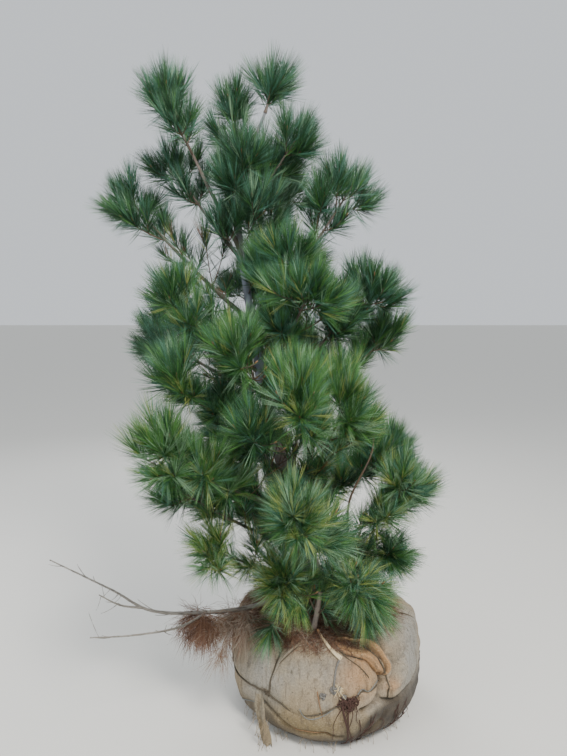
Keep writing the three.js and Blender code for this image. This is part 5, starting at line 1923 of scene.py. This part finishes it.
class PINE_OT_litter(Builder):
    """Scatter shed needles on the ball and hang the roots that came through"""

    bl_idname = "pine.litter"
    bl_label = "Litter and roots"

    def build(self, context):
        needle, bark, _ = settings()
        rng = np.random.default_rng(31)
        for brown, count in LITTER:
            self.bed(f"litter_{brown}", count, getattr(needle, brown), rng)
        finish = fibre_finish("root bark", bark.root, hex_colour(0x2A1A12))
        finish_piece(self.roots(rng), "dead_wood", finish)
        finish = fibre_finish("peeled stick", bark.bud, hex_colour(0x6B4A2C))
        finish_piece(self.sticks(), "dead_wood", finish)

    def roots(self, rng):
        """Hanging roots, the knot of strands and loops that they leave, and low roots."""
        roots = Tubes()
        steps = np.linspace(0, 1, 26)
        for heading, share, drop, radius, lean in HANGING_ROOTS:
            share = share - drop * MM / ROOT_RUN * steps
            heading = heading + lean * steps + 1.2 * np.sin(7 * steps + radius)
            line = skin_point(heading, np.clip(share, 0.03, 1), (3 + radius) * MM)
            roots.add(line, taper((radius * MM, radius * 0.35 * MM), 26), 7, 2, 40, 0.15)
        steps = np.linspace(0, 1, 14)
        for _ in range(STRAND_COUNT):
            heading = rng.uniform(*ROOT_KNOT) + rng.uniform(-4, 4) * steps
            share = rng.uniform(*ROOT_KNOT_SHARES) + rng.uniform(-0.09, 0.01) * steps
            line = skin_point(heading, share, rng.uniform(3, 8) * MM)
            roots.add(line, taper((1.4 * MM, 0.5 * MM), 14), 5)
        turn = np.linspace(0, 2 * np.pi, 22)
        for _ in range(LOOP_COUNT):
            heading = rng.uniform(*ROOT_KNOT) + rng.uniform(1, 2.6) * np.sin(turn + rng.uniform(0, 6))
            share = rng.uniform(0.325, 0.37) + rng.uniform(0.008, 0.02) * np.cos(turn * rng.choice([1, 2]))
            line = skin_point(heading, share, rng.uniform(2, 12) * MM)
            roots.add(line, rng.uniform(0.9, 2.2) * MM, 5)
        for _ in range(LOW_ROOT_COUNT):
            heading = rng.uniform(280, 322) + rng.uniform(-9, 9) * steps
            heading = heading + 2 * np.sin(5 * steps + rng.uniform(0, 6))
            share = np.clip(rng.uniform(0.12, 0.27) - rng.uniform(0.05, 0.2) * steps, 0.02, 1)
            line = skin_point(heading, share, rng.uniform(3, 7) * MM)
            roots.add(line, taper((rng.uniform(1.0, 2.0) * MM, 0.5 * MM), 14), 5)
        return roots.make("roots")

    def sticks(self):
        """Peeled sticks: a stub by the trunk and two that lie on the burlap."""
        sticks = Tubes()
        foot = skin_point(np.array([261.0]), np.array([0.755]), 2 * MM)
        way = unit(np.array([-0.25, -0.35, 1.0]))
        sticks.add(foot + np.linspace(-6, 26, 6)[:, None] * MM * way, 4.2 * MM, 8)
        for stations, radius in STICKS:
            sticks.add(on_skin(stations, 16), taper((radius * MM, radius * MM / 2), 16), 6)
        return sticks.make("sticks")

    def bed(self, name, count, base, rng):
        """A bed of shed needles on top of the ball, thicker towards the trunk."""
        needle, _, _ = settings()
        out = BED_REACH * np.sqrt(rng.random(count)) ** BED_CROWDING
        places = towards(360 * rng.random(count)) * out[:, None] + BED_MIDDLE
        reach = np.hypot(places[:, 0], places[:, 1])
        heading = np.degrees(np.arctan2(places[:, 1], places[:, 0])) % 360
        share = np.interp(reach, TOP_REACHES, TOP_SHARES)
        thick = BED_THICKNESS + PILE_HEIGHT * np.clip(1 - reach / PILE_REACH, 0, 1) ** PILE_CURVE
        middles = skin_point(heading, share, 1 * MM) + UP * (rng.random(count) * thick)[:, None]
        level = towards(360 * rng.random(count))
        normals = unit_normals(heading, share)
        level = level - normals * (level * normals).sum(1)[:, None]
        steep = BED_TILT + PILE_TILT * np.clip(thick - FLAT_THICKNESS, 0, 1)
        ways = unit(level + steep[:, None] * rng.normal(size=(count, 3)))
        lengths = needle.length * rng.uniform(0.45, 0.95, count)
        bases = middles - ways * lengths[:, None] / 2
        bases[:, 2] = np.maximum(bases[:, 2], skin_point(heading, share)[:, 2] - BED_THICKNESS)
        bows = BED_BOW * lengths[:, None] * normals
        bent = rng.random(count) < 0.6
        points, faces = needle_mesh(bases, ways, lengths, DEAD_RADIUS, bows, np.zeros(count), bent, rng)
        piece = new_piece(name, points, faces, False)
        finish_piece(piece, "dead_needles", plain_finish(name, base, 0.8))


class PINE_PT_panel(bpy.types.Panel):
    """The steps, in order"""

    bl_label = "Balled Pine"
    bl_idname = "PINE_PT_panel"
    bl_space_type = "VIEW_3D"
    bl_region_type = "UI"
    bl_category = "Pine"

    def draw(self, context):
        for step in STEPS:
            self.layout.operator(step.bl_idname)


STEPS = (
    PINE_OT_stage,
    PINE_OT_root_ball,
    PINE_OT_twine,
    PINE_OT_cloth,
    PINE_OT_litter,
    PINE_OT_trunk,
    PINE_OT_boughs,
    PINE_OT_twigs,
    PINE_OT_needles,
    PINE_OT_dead_wood,
)
GROUPS = {
    "balled_pine_needles": NeedleSettings,
    "balled_pine_bark": BarkSettings,
    "balled_pine_burlap": BurlapSettings,
    "balled_pine_stage": StageSettings,
}


def register():
    for group in GROUPS.values():
        bpy.utils.register_class(group)
    for step in (*STEPS, PINE_PT_panel):
        bpy.utils.register_class(step)
    for name, group in GROUPS.items():
        setattr(bpy.types.Scene, name, PointerProperty(type=group))


def unregister():
    for name in GROUPS:
        delattr(bpy.types.Scene, name)
    for step in (PINE_PT_panel, *reversed(STEPS)):
        bpy.utils.unregister_class(step)
    for group in GROUPS.values():
        bpy.utils.unregister_class(group)


def main():
    register()
    for step in STEPS:
        area, name = step.bl_idname.split(".")
        getattr(getattr(bpy.ops, area), name)()


if __name__ == "__main__":
    main()
